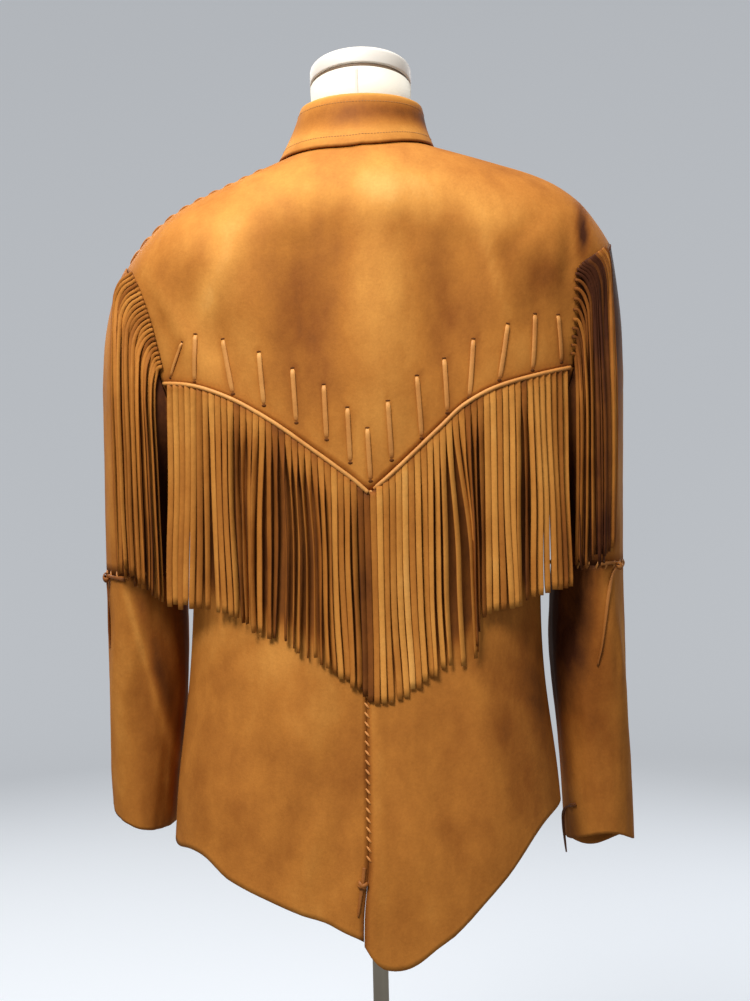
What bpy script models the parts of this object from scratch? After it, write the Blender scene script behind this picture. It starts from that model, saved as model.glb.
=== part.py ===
# Fringed buckskin jacket on a limbless dress form, in metres with +Z up.
# The wearer faces +Y, so the laced back faces -Y, and +X is the wearer's right.
# The origin is the middle of the stand's underside, on the pole's axis.
import math
import random
from bisect import bisect_right
from collections import namedtuple

import bmesh
import bpy
from mathutils import Vector
from mathutils.bvhtree import BVHTree

# Leather and seams
LEATHER = 0.0016
SEAM = 0.0004
STEEPEST = 0.3
SEAT_REACH = 0.006
HALVINGS = 30
LIE_ON = 0.0004
STRIP_LIE = 0.0007
ARMHOLE_LIE = 0.0011

# Heights of the cut
UNDERARM_Z = 1.100
VENT_TOP_Z = 0.740
VENT_OPENS = 0.050
SHOULDER_TIP_Z = 1.327

# Neckline, an ellipse about the form's neck
NECK_HALF_WIDTH = 0.066
NECK_BACK = 0.062
NECK_FRONT = 0.082
SHOULDER_SEAM_Y = -0.004

# How the body's rings are rounded, and how fast they close under the shoulder seam
RING_POWER = 2.35
CLOSE_POWER = 2.2
BACK_CLOSE = 0.100
FRONT_CLOSE = 0.115
ARMHOLE_ANGLE = math.radians(33)
ARMHOLE_CURVE = 0.090
CLOSED_BELOW = 0.080

# Columns of a panel: round the neckline in degrees from the middle, and beside it
NECK_COLUMNS = (0, 25, 50, 72, 90)
SIDE_COLUMNS = 7
YOKE_PANEL_ROWS = 13
BACK_PANEL_ROWS = (9, 5)
FRONT_PANEL_ROWS = (8, 12)
CROWDING = 2.0

# Rings of the body: half_width is the virtual ring's above the underarm
Ring = namedtuple("Ring", "z half_width back front lean")
BODY = (
    Ring(0.600, 0.198, 0.126, 0.118, -0.0145),
    Ring(0.690, 0.196, 0.124, 0.118, -0.0138),
    Ring(0.740, 0.195, 0.122, 0.117, -0.0087),
    Ring(0.800, 0.191, 0.118, 0.114, -0.0078),
    Ring(0.900, 0.177, 0.111, 0.110, -0.0070),
    Ring(0.970, 0.171, 0.108, 0.110, -0.0055),
    Ring(1.040, 0.175, 0.111, 0.116, -0.0030),
    Ring(1.100, 0.184, 0.117, 0.124, -0.0012),
    Ring(1.150, 0.207, 0.122, 0.127, -0.0008),
    Ring(1.200, 0.229, 0.125, 0.121, 0.0),
    Ring(1.260, 0.246, 0.124, 0.108, 0.0),
    Ring(1.300, 0.263, 0.121, 0.098, 0.0),
    Ring(1.330, 0.283, 0.118, 0.092, 0.0),
    Ring(1.450, 0.330, 0.112, 0.080, 0.0),
)

# The shoulder line from the middle of the neck outwards, the wearer's right a little higher
Ridge = namedtuple("Ridge", "out z")
SHOULDER_LEFT = (
    Ridge(0.000, 1.4440),
    Ridge(0.040, 1.4375),
    Ridge(0.075, 1.4241),
    Ridge(0.127, 1.4018),
    Ridge(0.180, 1.3767),
    Ridge(0.212, 1.3517),
    Ridge(0.232, 1.3272),
    Ridge(0.250, 1.3028),
)
SHOULDER_RIGHT = (
    Ridge(0.000, 1.4440),
    Ridge(0.040, 1.4410),
    Ridge(0.075, 1.4314),
    Ridge(0.127, 1.4162),
    Ridge(0.180, 1.3985),
    Ridge(0.212, 1.3783),
    Ridge(0.232, 1.3548),
    Ridge(0.250, 1.3270),
)

# The back yoke's pointed edge, from the centre back to each armhole
Edge = namedtuple("Edge", "out z")
YOKE_LEFT = (
    Edge(0.000, 1.087),
    Edge(0.022, 1.106),
    Edge(0.055, 1.131),
    Edge(0.092, 1.158),
    Edge(0.130, 1.180),
    Edge(0.168, 1.194),
    Edge(0.215, 1.199),
)
YOKE_RIGHT = (
    Edge(0.000, 1.087),
    Edge(0.030, 1.114),
    Edge(0.068, 1.149),
    Edge(0.088, 1.167),
    Edge(0.117, 1.183),
    Edge(0.156, 1.195),
    Edge(0.215, 1.209),
)

# Hems, from the centre to each side seam
BACK_HEM_LEFT = (
    Edge(0.0050, 0.6712),
    Edge(0.0283, 0.6826),
    Edge(0.0412, 0.6893),
    Edge(0.0652, 0.6967),
    Edge(0.1323, 0.7241),
    Edge(0.1557, 0.7419),
    Edge(0.1718, 0.7464),
    Edge(0.1892, 0.7444),
    Edge(0.2000, 0.7510),
)
BACK_HEM_RIGHT = (
    Edge(-0.0060, 0.6680),
    Edge(0.0034, 0.6532),
    Edge(0.0125, 0.6456),
    Edge(0.0292, 0.6442),
    Edge(0.0442, 0.6494),
    Edge(0.0629, 0.6629),
    Edge(0.0818, 0.6750),
    Edge(0.1280, 0.7189),
    Edge(0.1690, 0.7642),
    Edge(0.2000, 0.7790),
)
FRONT_HEM_LEFT = (
    Edge(-0.020, 0.716),
    Edge(0.050, 0.718),
    Edge(0.110, 0.728),
    Edge(0.165, 0.743),
    Edge(0.200, 0.751),
)
FRONT_HEM_RIGHT = (
    Edge(-0.020, 0.716),
    Edge(0.050, 0.718),
    Edge(0.110, 0.732),
    Edge(0.165, 0.762),
    Edge(0.200, 0.779),
)

# Rings of a sleeve from the armhole to the cuff: its outermost and innermost points
Sleeve = namedtuple("Sleeve", "step out_x out_z in_x in_z mid_y half_depth")
SLEEVE = (
    Sleeve(0, 0.2440, 1.327, 0.1840, 1.100, 0.000, 0.070),
    Sleeve(1, 0.2530, 1.305, 0.1885, 1.092, 0.001, 0.077),
    Sleeve(2, 0.2580, 1.270, 0.1885, 1.082, 0.004, 0.081),
    Sleeve(3, 0.2600, 1.225, 0.1890, 1.067, 0.008, 0.082),
    Sleeve(4, 0.2600, 1.165, 0.1895, 1.048, 0.012, 0.080),
    Sleeve(5, 0.2590, 1.094, 0.1905, 1.033, 0.016, 0.077),
    Sleeve(6, 0.2585, 1.012, 0.1915, 1.012, 0.020, 0.073),
    Sleeve(7, 0.2605, 0.930, 0.1930, 0.930, 0.027, 0.069),
    Sleeve(8, 0.2635, 0.860, 0.1940, 0.860, 0.035, 0.066),
    Sleeve(9, 0.2670, 0.800, 0.1965, 0.800, 0.042, 0.063),
    Sleeve(10, 0.2695, 0.772, 0.1990, 0.752, 0.046, 0.061),
)

# How much further out the left sleeve hangs
LeftSleeve = namedtuple("LeftSleeve", "step out_x in_x")
LEFT_SLEEVE = (
    LeftSleeve(0, 0.0, 0.0025),
    LeftSleeve(2, 0.0050, 0.0025),
    LeftSleeve(4, 0.0100, 0.0030),
    LeftSleeve(6, 0.0135, 0.0035),
    LeftSleeve(8, 0.0115, 0.0065),
    LeftSleeve(9, 0.0090, 0.0100),
    LeftSleeve(10, 0.0065, 0.0115),
)
ELBOW_STEP = 6
CUFF_STEP = 10
ARMHOLE_GAP = 0.0015
ELBOW_GAP = 0.006
ARMHOLE_BLEND = 2.6
ROUND_SLEEVE = 24
CUFF_BLEND = 1.6

# How far the cuff's edge lies above the sleeve's last ring, round it, on each side
Cuff = namedtuple("Cuff", "outer back inner front")
CUFFS = {-1: Cuff(-0.001, -0.008, -0.002, -0.006), 1: Cuff(-0.0515, -0.024, -0.030, -0.066)}

# Soft folds: where each is deepest, its half sizes and its depth, inwards if negative
Fold = namedtuple("Fold", "x z half_x half_z turn depth")
BACK_FOLDS = (
    Fold(-0.055, 1.270, 0.040, 0.110, 0.00, -0.0050),
    Fold(0.085, 1.270, 0.040, 0.100, 0.00, -0.0055),
    Fold(0.012, 1.230, 0.028, 0.150, 0.00, 0.0035),
    Fold(-0.120, 1.285, 0.030, 0.060, -0.70, 0.0030),
    Fold(-0.150, 1.245, 0.022, 0.060, -0.60, -0.0040),
    Fold(0.195, 1.310, 0.010, 0.035, 0.00, -0.0060),
    Fold(0.165, 1.260, 0.022, 0.040, 0.20, -0.0040),
    Fold(-0.070, 0.900, 0.030, 0.120, 0.10, 0.0040),
    Fold(-0.115, 0.850, 0.025, 0.140, -0.05, -0.0045),
    Fold(-0.030, 0.830, 0.024, 0.110, 0.10, -0.0030),
    Fold(0.060, 0.860, 0.032, 0.130, -0.15, -0.0040),
    Fold(0.110, 0.830, 0.024, 0.110, -0.20, 0.0040),
)
FRONT_FOLDS = (
    Fold(-0.070, 1.240, 0.030, 0.100, 0.30, -0.0040),
    Fold(0.075, 1.230, 0.030, 0.110, -0.30, -0.0040),
    Fold(-0.120, 1.120, 0.026, 0.120, 0.15, 0.0040),
    Fold(0.120, 1.110, 0.026, 0.120, -0.15, 0.0040),
    Fold(-0.080, 0.880, 0.028, 0.140, 0.05, 0.0045),
    Fold(0.085, 0.870, 0.028, 0.140, -0.05, 0.0045),
    Fold(-0.125, 0.860, 0.022, 0.120, 0.00, -0.0040),
    Fold(0.130, 0.860, 0.022, 0.120, 0.00, -0.0040),
)
# Folds of a sleeve: angle round it from the outermost line, height, sizes and depth
Crease = namedtuple("Crease", "angle z half_angle half_z slope depth")
SLEEVE_FOLDS = (
    Crease(0.95, 0.900, 0.30, 0.100, 2.2, 0.0035),
    Crease(1.65, 0.880, 0.34, 0.110, 1.6, -0.0045),
    Crease(2.60, 0.860, 0.35, 0.090, 0.0, 0.0030),
    Crease(4.40, 0.900, 0.35, 0.100, -1.5, -0.0040),
    Crease(5.20, 0.870, 0.35, 0.100, 0.0, 0.0030),
    Crease(1.20, 1.100, 0.35, 0.060, 2.0, 0.0030),
    Crease(4.80, 1.110, 0.35, 0.070, -2.0, -0.0035),
)

# Fringe: each strand is a flat bar, and its root is fused into a narrow strip
YOKE_STRANDS = 32
ARMHOLE_STRANDS = 10
STRAND_SHARE = 0.76
STRAND_THICK = 0.0014
STRAND_CLEAR = 0.0012
STRAND_BESIDE = 0.0022
HANG_ROUNDS = 8
HANG_CHECKS = (0.15, 0.3, 0.5, 0.7, 0.85, 1.0)
STRIP_DEPTH = 0.007
STRIP_BELOW_EDGE = 0.0032
LAYER_STEP = 0.0022
STRAND_SWAY = 0.0008
YOKE_FRINGE_HALF = 0.1920
YOKE_ROWS = (0.25, 0.60, 1.0)
ARMHOLE_ROWS = (0.10, 0.32, 0.66, 1.0)
ARMHOLE_STRAND_WIDE = 0.0028
ROOT_STEP = 0.03

# Length of the yoke's fringe and how far its ends drift sideways, across the back
Fringe = namedtuple("Fringe", "x long drift")
YOKE_FRINGE = (
    Fringe(-0.200, 0.2060, -0.0090),
    Fringe(-0.168, 0.2020, -0.0060),
    Fringe(-0.119, 0.1980, -0.0020),
    Fringe(-0.079, 0.1900, 0.0),
    Fringe(-0.040, 0.1890, 0.0),
    Fringe(0.000, 0.1885, 0.0),
    Fringe(0.020, 0.2000, 0.0),
    Fringe(0.065, 0.2160, 0.0),
    Fringe(0.088, 0.2205, 0.0),
    Fringe(0.107, 0.1990, 0.0010),
    Fringe(0.137, 0.2015, 0.0020),
    Fringe(0.164, 0.2000, 0.0025),
    Fringe(0.191, 0.1965, 0.0030),
    Fringe(0.200, 0.1860, 0.0030),
)

# Roots of each armhole's fringe on the yoke, from the shoulder down, and where the strands fall
ArmRoot = namedtuple("ArmRoot", "part x z fall long")
ARMHOLE_FRINGE = {
    -1: (
        ArmRoot(0.00, 0.2310, 1.3090, 0.2475, 0.290),
        ArmRoot(0.20, 0.2210, 1.2895, 0.2400, 0.275),
        ArmRoot(0.40, 0.2136, 1.2695, 0.2310, 0.262),
        ArmRoot(0.60, 0.2080, 1.2500, 0.2225, 0.250),
        ArmRoot(0.80, 0.2033, 1.2300, 0.2140, 0.238),
        ArmRoot(1.00, 0.1988, 1.2105, 0.2055, 0.226),
    ),
    1: (
        ArmRoot(0.00, 0.2355, 1.3195, 0.2395, 0.285),
        ArmRoot(0.25, 0.2215, 1.3090, 0.2310, 0.285),
        ArmRoot(0.50, 0.2065, 1.2975, 0.2220, 0.280),
        ArmRoot(0.62, 0.2030, 1.2850, 0.2165, 0.268),
        ArmRoot(0.80, 0.2010, 1.2480, 0.2090, 0.236),
        ArmRoot(1.00, 0.1985, 1.2125, 0.2020, 0.200),
    ),
}

# The rolled cord that covers the yoke's edge
WELT_RADIUS = 0.0019
WELT_START = 0.0016
WELT_PARTS = 22
WELT_SIDES = 5

# Lace stitches above the yoke's edge: x of the upper and lower ends, and their heights
Stitch = namedtuple("Stitch", "top_x top_z foot_x foot_z")
STITCHES = (
    Stitch(-0.1615, 1.2410, -0.1635, 1.1970),
    Stitch(-0.1350, 1.2350, -0.1265, 1.1840),
    Stitch(-0.1005, 1.2210, -0.0970, 1.1720),
    Stitch(-0.0695, 1.2050, -0.0670, 1.1550),
    Stitch(-0.0405, 1.1890, -0.0390, 1.1385),
    Stitch(-0.0190, 1.1670, -0.0175, 1.1165),
    Stitch(-0.0010, 1.1475, 0.0010, 1.0990),
    Stitch(0.0185, 1.1720, 0.0210, 1.1180),
    Stitch(0.0460, 1.1950, 0.0495, 1.1380),
    Stitch(0.0720, 1.2110, 0.0740, 1.1610),
    Stitch(0.1000, 1.2290, 0.0950, 1.1750),
    Stitch(0.1330, 1.2430, 0.1240, 1.1910),
    Stitch(0.1600, 1.2530, 0.1565, 1.2005),
    Stitch(0.1830, 1.2530, 0.1860, 1.2090),
)
SIDE_LACE = Stitch(-0.1750, 1.2345, -0.1885, 1.2030)
SIDE_LACE_WIDTH = 0.0030
STITCH_PARTS = 6
LACE_TOP = 0.8
LACE_END = 0.72
STITCH_WIDTH = 0.0052
STITCH_THICK = 0.0018

# Collar: its height, and how far the turned-down leaf lies out from the neckline, round the neck
CollarPart = namedtuple("CollarPart", "turn top_z left_out right_out")
COLLAR = (
    CollarPart(0.0, 1.4775, 0.0130, 0.0130),
    CollarPart(0.9, 1.4775, 0.0150, 0.0095),
    CollarPart(1.57, 1.4760, 0.0175, 0.0055),
    CollarPart(2.1, 1.4620, 0.0150, 0.0090),
    CollarPart(2.6, 1.4400, 0.0130, 0.0130),
    CollarPart(3.02, 1.4260, 0.0120, 0.0120),
)
COLLAR_END = 3.02
COLLAR_TOP_IN = 0.0112
COLLAR_TOP_BACK_IN = 0.0105
COLLAR_FOLD = 0.0032
COLLAR_BOW = 0.0016
COLLAR_LIFT = 0.0011
COLLAR_FRONT_LIFT = 0.0045

# Front overlap and buttons
OVERLAP = 0.014
OVERLAP_BLEND = 0.050
BESIDE_MIDDLE = 0.034
OVERLAP_LIFT = LEATHER + 0.0008
VENT_GAP = 0.0012
BUTTON_HEIGHTS = (1.330, 1.218, 1.104, 0.990, 0.876)
BUTTON_RADIUS = 0.0100
BUTTON_THICK = 0.0032
BUTTON_SIDES = 16

# Laces knotted at the elbow seams, at the right cuff and at the vent
TIE_WIDTH = 0.0034
TIE_THICK = 0.0018
FREE_FALL = 0.02
KNOT_WIDTH = 0.0085
KNOT_THICK = 0.0050
Tie = namedtuple("Tie", "name knot_at clear path")
TIES = (
    Tie(
        "tie_elbow_left", 3, 0.0017,
        (
            (-0.2420, 1.0080), (-0.2500, 1.0095), (-0.2570, 1.0105), (-0.2630, 1.0100),
            (-0.2635, 0.9950), (-0.2640, 0.9750), (-0.2645, 0.9550), (-0.2650, 0.9370),
        ),
    ),
    Tie(
        "tie_elbow_right", 2, 0.0017,
        (
            (0.2250, 1.0130), (0.2340, 1.0140), (0.2430, 1.0120), (0.2370, 1.0030),
            (0.2330, 0.9850), (0.2305, 0.9600), (0.2270, 0.9300), (0.2235, 0.9110),
        ),
    ),
    Tie(
        "tie_cuff_right", 1, 0.0009,
        (
            (0.2120, 0.7680), (0.2090, 0.7590), (0.2050, 0.7500), (0.1960, 0.7290), (0.1935, 0.7080),
        ),
    ),
    Tie(
        "tie_vent", 1, 0.0006,
        (
            (-0.0130, 0.7400), (-0.0150, 0.7250), (-0.0175, 0.7100), (-0.0190, 0.6950),
        ),
    ),
)

# Dress form and stand
FORM_GAP_Z = 0.0012
FORM_SHOULDER = 0.95
FORM_CLOSE_POWER = 1.55
FORM_CLOSES_ABOVE = 1.30
FORM_SIDES = 28
FormRing = namedtuple("FormRing", "z half_width back front")
FORM = (
    FormRing(0.815, 0.150, 0.092, 0.092),
    FormRing(0.860, 0.158, 0.098, 0.096),
    FormRing(0.920, 0.152, 0.095, 0.094),
    FormRing(0.990, 0.136, 0.086, 0.090),
    FormRing(1.060, 0.148, 0.096, 0.104),
    FormRing(1.120, 0.164, 0.107, 0.114),
    FormRing(1.180, 0.176, 0.114, 0.112),
    FormRing(1.240, 0.183, 0.116, 0.100),
    FormRing(1.300, 0.188, 0.112, 0.088),
    FormRing(1.350, 0.184, 0.106, 0.080),
    FormRing(1.450, 0.180, 0.100, 0.072),
)
FORM_LEVELS = (
    0.815, 0.819, 0.860, 0.920, 0.990, 1.060, 1.120, 1.180, 1.240, 1.290,
    1.325, 1.350, 1.368, 1.382, 1.394, 1.404, 1.413, 1.4205, 1.4265,
)
NECK_RINGS = ((0.0, 0.0495), (0.3, 0.0500), (0.65, 0.0508), (1.0, 0.0520))
NECK_LONG = 0.0790
NECK_FOOT_Y = 0.002
NECK_TILT = math.tan(math.radians(9))
RING_THICK = 0.0035
RING_RADIUS = 0.0502
CAP_THICK = 0.0180
CAP_RADIUS = 0.0522
CAP_ROUND = 0.0050
CAP_FOOT = 0.0015
POLE_RADIUS = 0.0080
POLE_SIDES = 24
BASE_RADIUS = 0.160
BASE_THICK = 0.010
BOSS_RADIUS = 0.022
BOSS_HEIGHT = 0.030
STAND_BEVEL = 0.003
FLANGE_RADIUS = 0.034
FLANGE_THICK = 0.006

# Colours from the photograph, linear
BUCKSKIN = (0.56, 0.27, 0.075, 1.0)
BUCKSKIN_DARK = (0.50, 0.23, 0.06, 1.0)
CANVAS = (0.80, 0.76, 0.66, 1.0)
CAP_WHITE = (0.86, 0.83, 0.78, 1.0)
RING_BROWN = (0.22, 0.14, 0.08, 1.0)
STEEL = (0.66, 0.65, 0.63, 1.0)
HORN = (0.20, 0.11, 0.05, 1.0)


def read(rows, at, column):
    """The column's value between a table's rows, whose first column rises, on a smooth cubic."""
    knots = [row[0] for row in rows]
    values = [getattr(row, column) for row in rows]
    last = len(knots) - 1
    at = min(max(at, knots[0]), knots[last])
    i = min(max(bisect_right(knots, at) - 1, 0), last - 1)

    def slope(k):
        low, high = max(k - 1, 0), min(k + 1, last)
        return (values[high] - values[low]) / (knots[high] - knots[low])

    span = knots[i + 1] - knots[i]
    t = (at - knots[i]) / span
    return (
        values[i] * (1 + 2 * t) * (1 - t) ** 2
        + values[i + 1] * t * t * (3 - 2 * t)
        + span * (slope(i) * t * (1 - t) ** 2 - slope(i + 1) * t * t * (1 - t))
    )


def ease(low, high, at):
    """0 below low, 1 above high and smooth between them."""
    t = min(max((at - low) / (high - low), 0.0), 1.0)
    return t * t * (3 - 2 * t)


def ridge_z(x):
    """Height of the shoulder line above x."""
    return read(SHOULDER_LEFT if x < 0 else SHOULDER_RIGHT, abs(x), "z")


def fold_depth(folds, x, z):
    """How far the soft folds push the cloth out at a point of the front or the back."""
    total = 0.0
    for fold in folds:
        along = z - fold.z
        across = x - fold.x - fold.turn * along
        total += fold.depth * math.exp(-((across / fold.half_x) ** 2) - (along / fold.half_z) ** 2)
    return total


def body_y(x, z, back):
    """Depth of the body's inner face at x and z, on the back or on the front."""
    ring = read(BODY, z, "half_width")
    full = read(BODY, z, "back" if back else "front")
    aside = min(abs(x - read(BODY, z, "lean")) / ring, 1.0)
    depth = full * (1 - aside**RING_POWER) ** (1 / RING_POWER)
    fade = ease(0.0, 0.5, 1 - aside)
    depth += fade * fold_depth(BACK_FOLDS if back else FRONT_FOLDS, x, z)
    below = (ridge_z(x) - z) / (BACK_CLOSE if back else FRONT_CLOSE)
    closing = (1 - (1 - min(max(below, 0.0), 1.0)) ** CLOSE_POWER) ** (1 / CLOSE_POWER)
    seam_y = SHOULDER_SEAM_Y * ease(UNDERARM_Z, SHOULDER_TIP_Z, z)
    return seam_y - (depth + seam_y) * closing if back else seam_y + (depth - seam_y) * closing


def side_angle(z):
    """Angle round the body's ring from its middle to the side seam or the armhole."""
    q = min(max((z - UNDERARM_Z) / ARMHOLE_CURVE, 0.0), 1.0)
    return math.pi / 2 - ARMHOLE_ANGLE * math.sqrt(q * (2 - q))


def body_x(share, z):
    """x at a share of the way from the middle line, 0, to the side seam or the armhole, 1."""
    angle = side_angle(z)
    ring = read(BODY, z, "half_width")
    bent = abs(math.sin(abs(share) * angle)) ** (2 / RING_POWER)
    return read(BODY, z, "lean") + math.copysign(ring * bent, share)


def neck_y(x, back):
    """Depth of the neckline ellipse at x."""
    rest = math.sqrt(max(1 - (x / NECK_HALF_WIDTH) ** 2, 0.0))
    return SHOULDER_SEAM_Y - NECK_BACK * rest if back else SHOULDER_SEAM_Y + NECK_FRONT * rest


def top_z(x, back):
    """Height of the cut's upper edge above x: the neckline, or the shoulder seam beside it."""
    ridge = ridge_z(x)
    if abs(x) >= NECK_HALF_WIDTH:
        return ridge
    target = neck_y(x, back)
    low, high = ridge - 0.11, ridge
    for _ in range(HALVINGS):
        mid = (low + high) / 2
        deeper = body_y(x, mid, back) < target if back else body_y(x, mid, back) > target
        low, high = (mid, high) if deeper else (low, mid)
    return (low + high) / 2


def settle(share, height_of):
    """Height where the column at this share meets an edge whose height depends on x."""
    z = height_of(body_x(share, 1.2))
    for _ in range(8):
        z = height_of(body_x(share, z))
    return z


def surface_z(x, y):
    """Height of the body's inner face above a point near the shoulders."""
    back = y < SHOULDER_SEAM_Y
    low, high = 1.20, ridge_z(x)
    for _ in range(HALVINGS):
        mid = (low + high) / 2
        outside = body_y(x, mid, back) > y if back else body_y(x, mid, back) < y
        low, high = (low, mid) if outside else (mid, high)
    return (low + high) / 2


def body_normal(x, z, back):
    """Outward direction of the body's face, which lies nearly level along the shoulder line."""
    step = 0.002
    if ridge_z(x) - z < 2 * step:
        slope = (ridge_z(x + step) - ridge_z(x - step)) / (2 * step)
        y = body_y(x, z, back) - SHOULDER_SEAM_Y
        depth = abs(body_y(x, z - CLOSED_BELOW, back) - SHOULDER_SEAM_Y)
        close = BACK_CLOSE if back else FRONT_CLOSE
        tilt = close * (abs(y) / depth) ** (CLOSE_POWER - 1) / depth
        return Vector((-slope, math.copysign(tilt, y), 1)).normalized()
    along_x = Vector((2 * step, body_y(x + step, z, back) - body_y(x - step, z, back), 0))
    along_z = Vector((0, body_y(x, z + step, back) - body_y(x, z - step, back), 2 * step))
    normal = along_x.cross(along_z) if back else along_z.cross(along_x)
    return normal.normalized()


def body_point(x, z, back, out=0.0):
    """A point of the body's inner face, moved out."""
    return Vector((x, body_y(x, z, back), z)) + out * body_normal(x, z, back)


def material(name, colour, roughness, metallic=0.0):
    made = bpy.data.materials.new(name)
    made.use_nodes = True
    shader = made.node_tree.nodes["Principled BSDF"]
    shader.inputs["Base Color"].default_value = colour
    shader.inputs["Roughness"].default_value = roughness
    shader.inputs["Metallic"].default_value = metallic
    return made


def finish(name, mesh, look, thickness=0.0, offset=1.0, even=True):
    """Makes the object of a mesh, with its sheet built up to a wall if a thickness is given."""
    data = bpy.data.meshes.new(name)
    mesh.to_mesh(data)
    mesh.free()
    data.materials.append(look)
    data.shade_smooth()
    obj = bpy.data.objects.new(name, data)
    bpy.context.scene.collection.objects.link(obj)
    if thickness:
        wall = obj.modifiers.new("Wall", "SOLIDIFY")
        wall.thickness = thickness
        wall.offset = offset
        wall.use_even_offset = even
    return obj


def grid(columns, rows, place, around=False):
    """A sheet whose points place(column, row) puts. Its ends are joined where it goes around."""
    mesh = bmesh.new()
    wide, high = len(columns) - 1, len(rows) - 1
    bmesh.ops.create_grid(mesh, x_segments=wide, y_segments=high, size=1.0)
    for vert in mesh.verts:
        i = round((vert.co.x + 1) / 2 * wide)
        j = round((vert.co.y + 1) / 2 * high)
        vert.co = place(columns[i], rows[j])
    if around:
        bmesh.ops.remove_doubles(mesh, verts=mesh.verts, dist=1e-6)
    return mesh


def face_outwards(mesh, centre_of):
    """Turns a sheet's faces away from centre_of(face middle), by its middle face."""
    bmesh.ops.recalc_face_normals(mesh, faces=mesh.faces)
    mesh.faces.ensure_lookup_table()
    mesh.normal_update()
    away = 0.0
    for face in mesh.faces:
        middle = face.calc_center_median()
        away += face.normal.dot(middle - centre_of(middle)) * face.calc_area()
    if away < 0:
        bmesh.ops.reverse_faces(mesh, faces=mesh.faces)


def body_axis(point):
    return Vector((0, 0, point.z))


def bar(name, sections, look):
    """A closed bar through sections, each a loop of as many points."""
    count = len(sections[0])
    turns = list(range(count)) + [0]
    mesh = grid(turns, range(len(sections)), lambda i, j: sections[j][i], around=True)
    ends = [edge for edge in mesh.edges if edge.is_boundary]
    bmesh.ops.holes_fill(mesh, edges=ends, sides=0)
    bmesh.ops.recalc_face_normals(mesh, faces=mesh.faces)
    return finish(name, mesh, look)


def lace(name, points, outs, sizes, look):
    """A flat lace through points that it lies on, thick outwards; sizes are its widths and heights."""
    last = len(points) - 1
    sections = []
    for k, (point, out, (width, thick)) in enumerate(zip(points, outs, sizes)):
        along = points[min(k + 1, last)] - points[max(k - 1, 0)]
        side = along.cross(out).normalized() * (width / 2)
        rise = out * thick
        flat = side * LACE_TOP
        sections.append((point - side, point + side, point + flat + rise, point - flat + rise))
    return bar(name, sections, look)


def cloth(name, columns, rows, place, look, covers=None):
    """A body panel, its wall built out from the inner face."""
    mesh = grid(columns, rows, place)
    bmesh.ops.triangulate(mesh, faces=mesh.faces)
    face_outwards(mesh, body_axis)
    if covers is not None:
        covers.append((BVHTree.FromBMesh(mesh), LEATHER))
    return finish(name, mesh, look, LEATHER, even=False)


def share_at(x, z):
    """The share of the way to the side at which the body's ring passes x."""
    out = x - read(BODY, z, "lean")
    bent = min(abs(out) / read(BODY, z, "half_width"), 1.0) ** (RING_POWER / 2)
    return math.copysign(math.asin(bent) / side_angle(z), out)


def body_place(back, centre_out, lift=None):
    """Puts a body panel's points, with half a seam left free on each edge.

    centre_out gives the distance from the middle line for the columns near it, by their share.
    """

    def place(column, row):
        share, low, high = column
        z = low + (high - low) * row
        x = body_x(share, z)
        if share in centre_out:
            x = read(BODY, z, "lean") + centre_out[share](z)
        point = body_point(x, z, back)
        if lift is not None:
            point += lift(x - read(BODY, z, "lean")) * body_normal(x, z, back)
        at_side = abs(share) > 0.999 and z <= UNDERARM_Z
        at_shoulder = row > 0.9999 and abs(x) >= NECK_HALF_WIDTH - 1e-6 and high > SHOULDER_TIP_Z - 0.03
        if at_side or at_shoulder:
            point.y += -SEAM / 2 if back else SEAM / 2
        return point

    return place


def column_ends(shares, low_of, high_of):
    return [(share, settle(share, low_of), settle(share, high_of)) for share in shares]


def half_shares():
    """Columns of half a panel, one of them at the end of the neckline."""
    rims = [NECK_HALF_WIDTH * math.sin(math.radians(turn)) for turn in NECK_COLUMNS]
    across = [share_at(x, ridge_z(NECK_HALF_WIDTH)) for x in rims]
    neck = across[-1]
    return across + [neck + (1 - neck) * k / SIDE_COLUMNS for k in range(1, SIDE_COLUMNS + 1)]


def build_yoke(look, covers):
    half = half_shares()
    shares = [-share for share in reversed(half[1:])] + half

    def low_of(x):
        return read(YOKE_LEFT if x < 0 else YOKE_RIGHT, abs(x), "z") + SEAM / 2

    columns = column_ends(shares, low_of, lambda x: top_z(x, True))
    rows = [1 - (1 - k / YOKE_PANEL_ROWS) ** CROWDING for k in range(YOKE_PANEL_ROWS + 1)]
    return cloth("yoke_back", columns, rows, body_place(True, {}), look, covers)


def underarm_rows(column, below, above, both_ends):
    """Rows from a hem up that pass the underarm, closer together just above it."""
    _, low, high = column
    part = (UNDERARM_Z - low) / (high - low)
    rows = [part * k / below for k in range(below)]
    for k in range(above + 1):
        t = k / above
        bent = 1 - (1 - t**CROWDING) ** CROWDING if both_ends else t**CROWDING
        rows.append(part + (1 - part) * bent)
    return rows


def build_lower_back(name, side, look, covers):
    hem = BACK_HEM_LEFT if side < 0 else BACK_HEM_RIGHT
    edge = YOKE_LEFT if side < 0 else YOKE_RIGHT
    shares = [side * share for share in half_shares()]

    def low_of(x):
        return read(hem, side * (x - read(BODY, VENT_TOP_Z, "lean")), "z")

    def high_of(x):
        return read(edge, abs(x), "z") - SEAM / 2

    def centre_out(z):
        return side * (SEAM / 2 + VENT_GAP * ease(-VENT_TOP_Z, VENT_OPENS - VENT_TOP_Z, -z))

    columns = column_ends(shares, low_of, high_of)
    rows = underarm_rows(columns[-1], *BACK_PANEL_ROWS, False)
    place = body_place(True, {0: centre_out})
    return cloth(name, columns, rows, place, look, covers)


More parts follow.
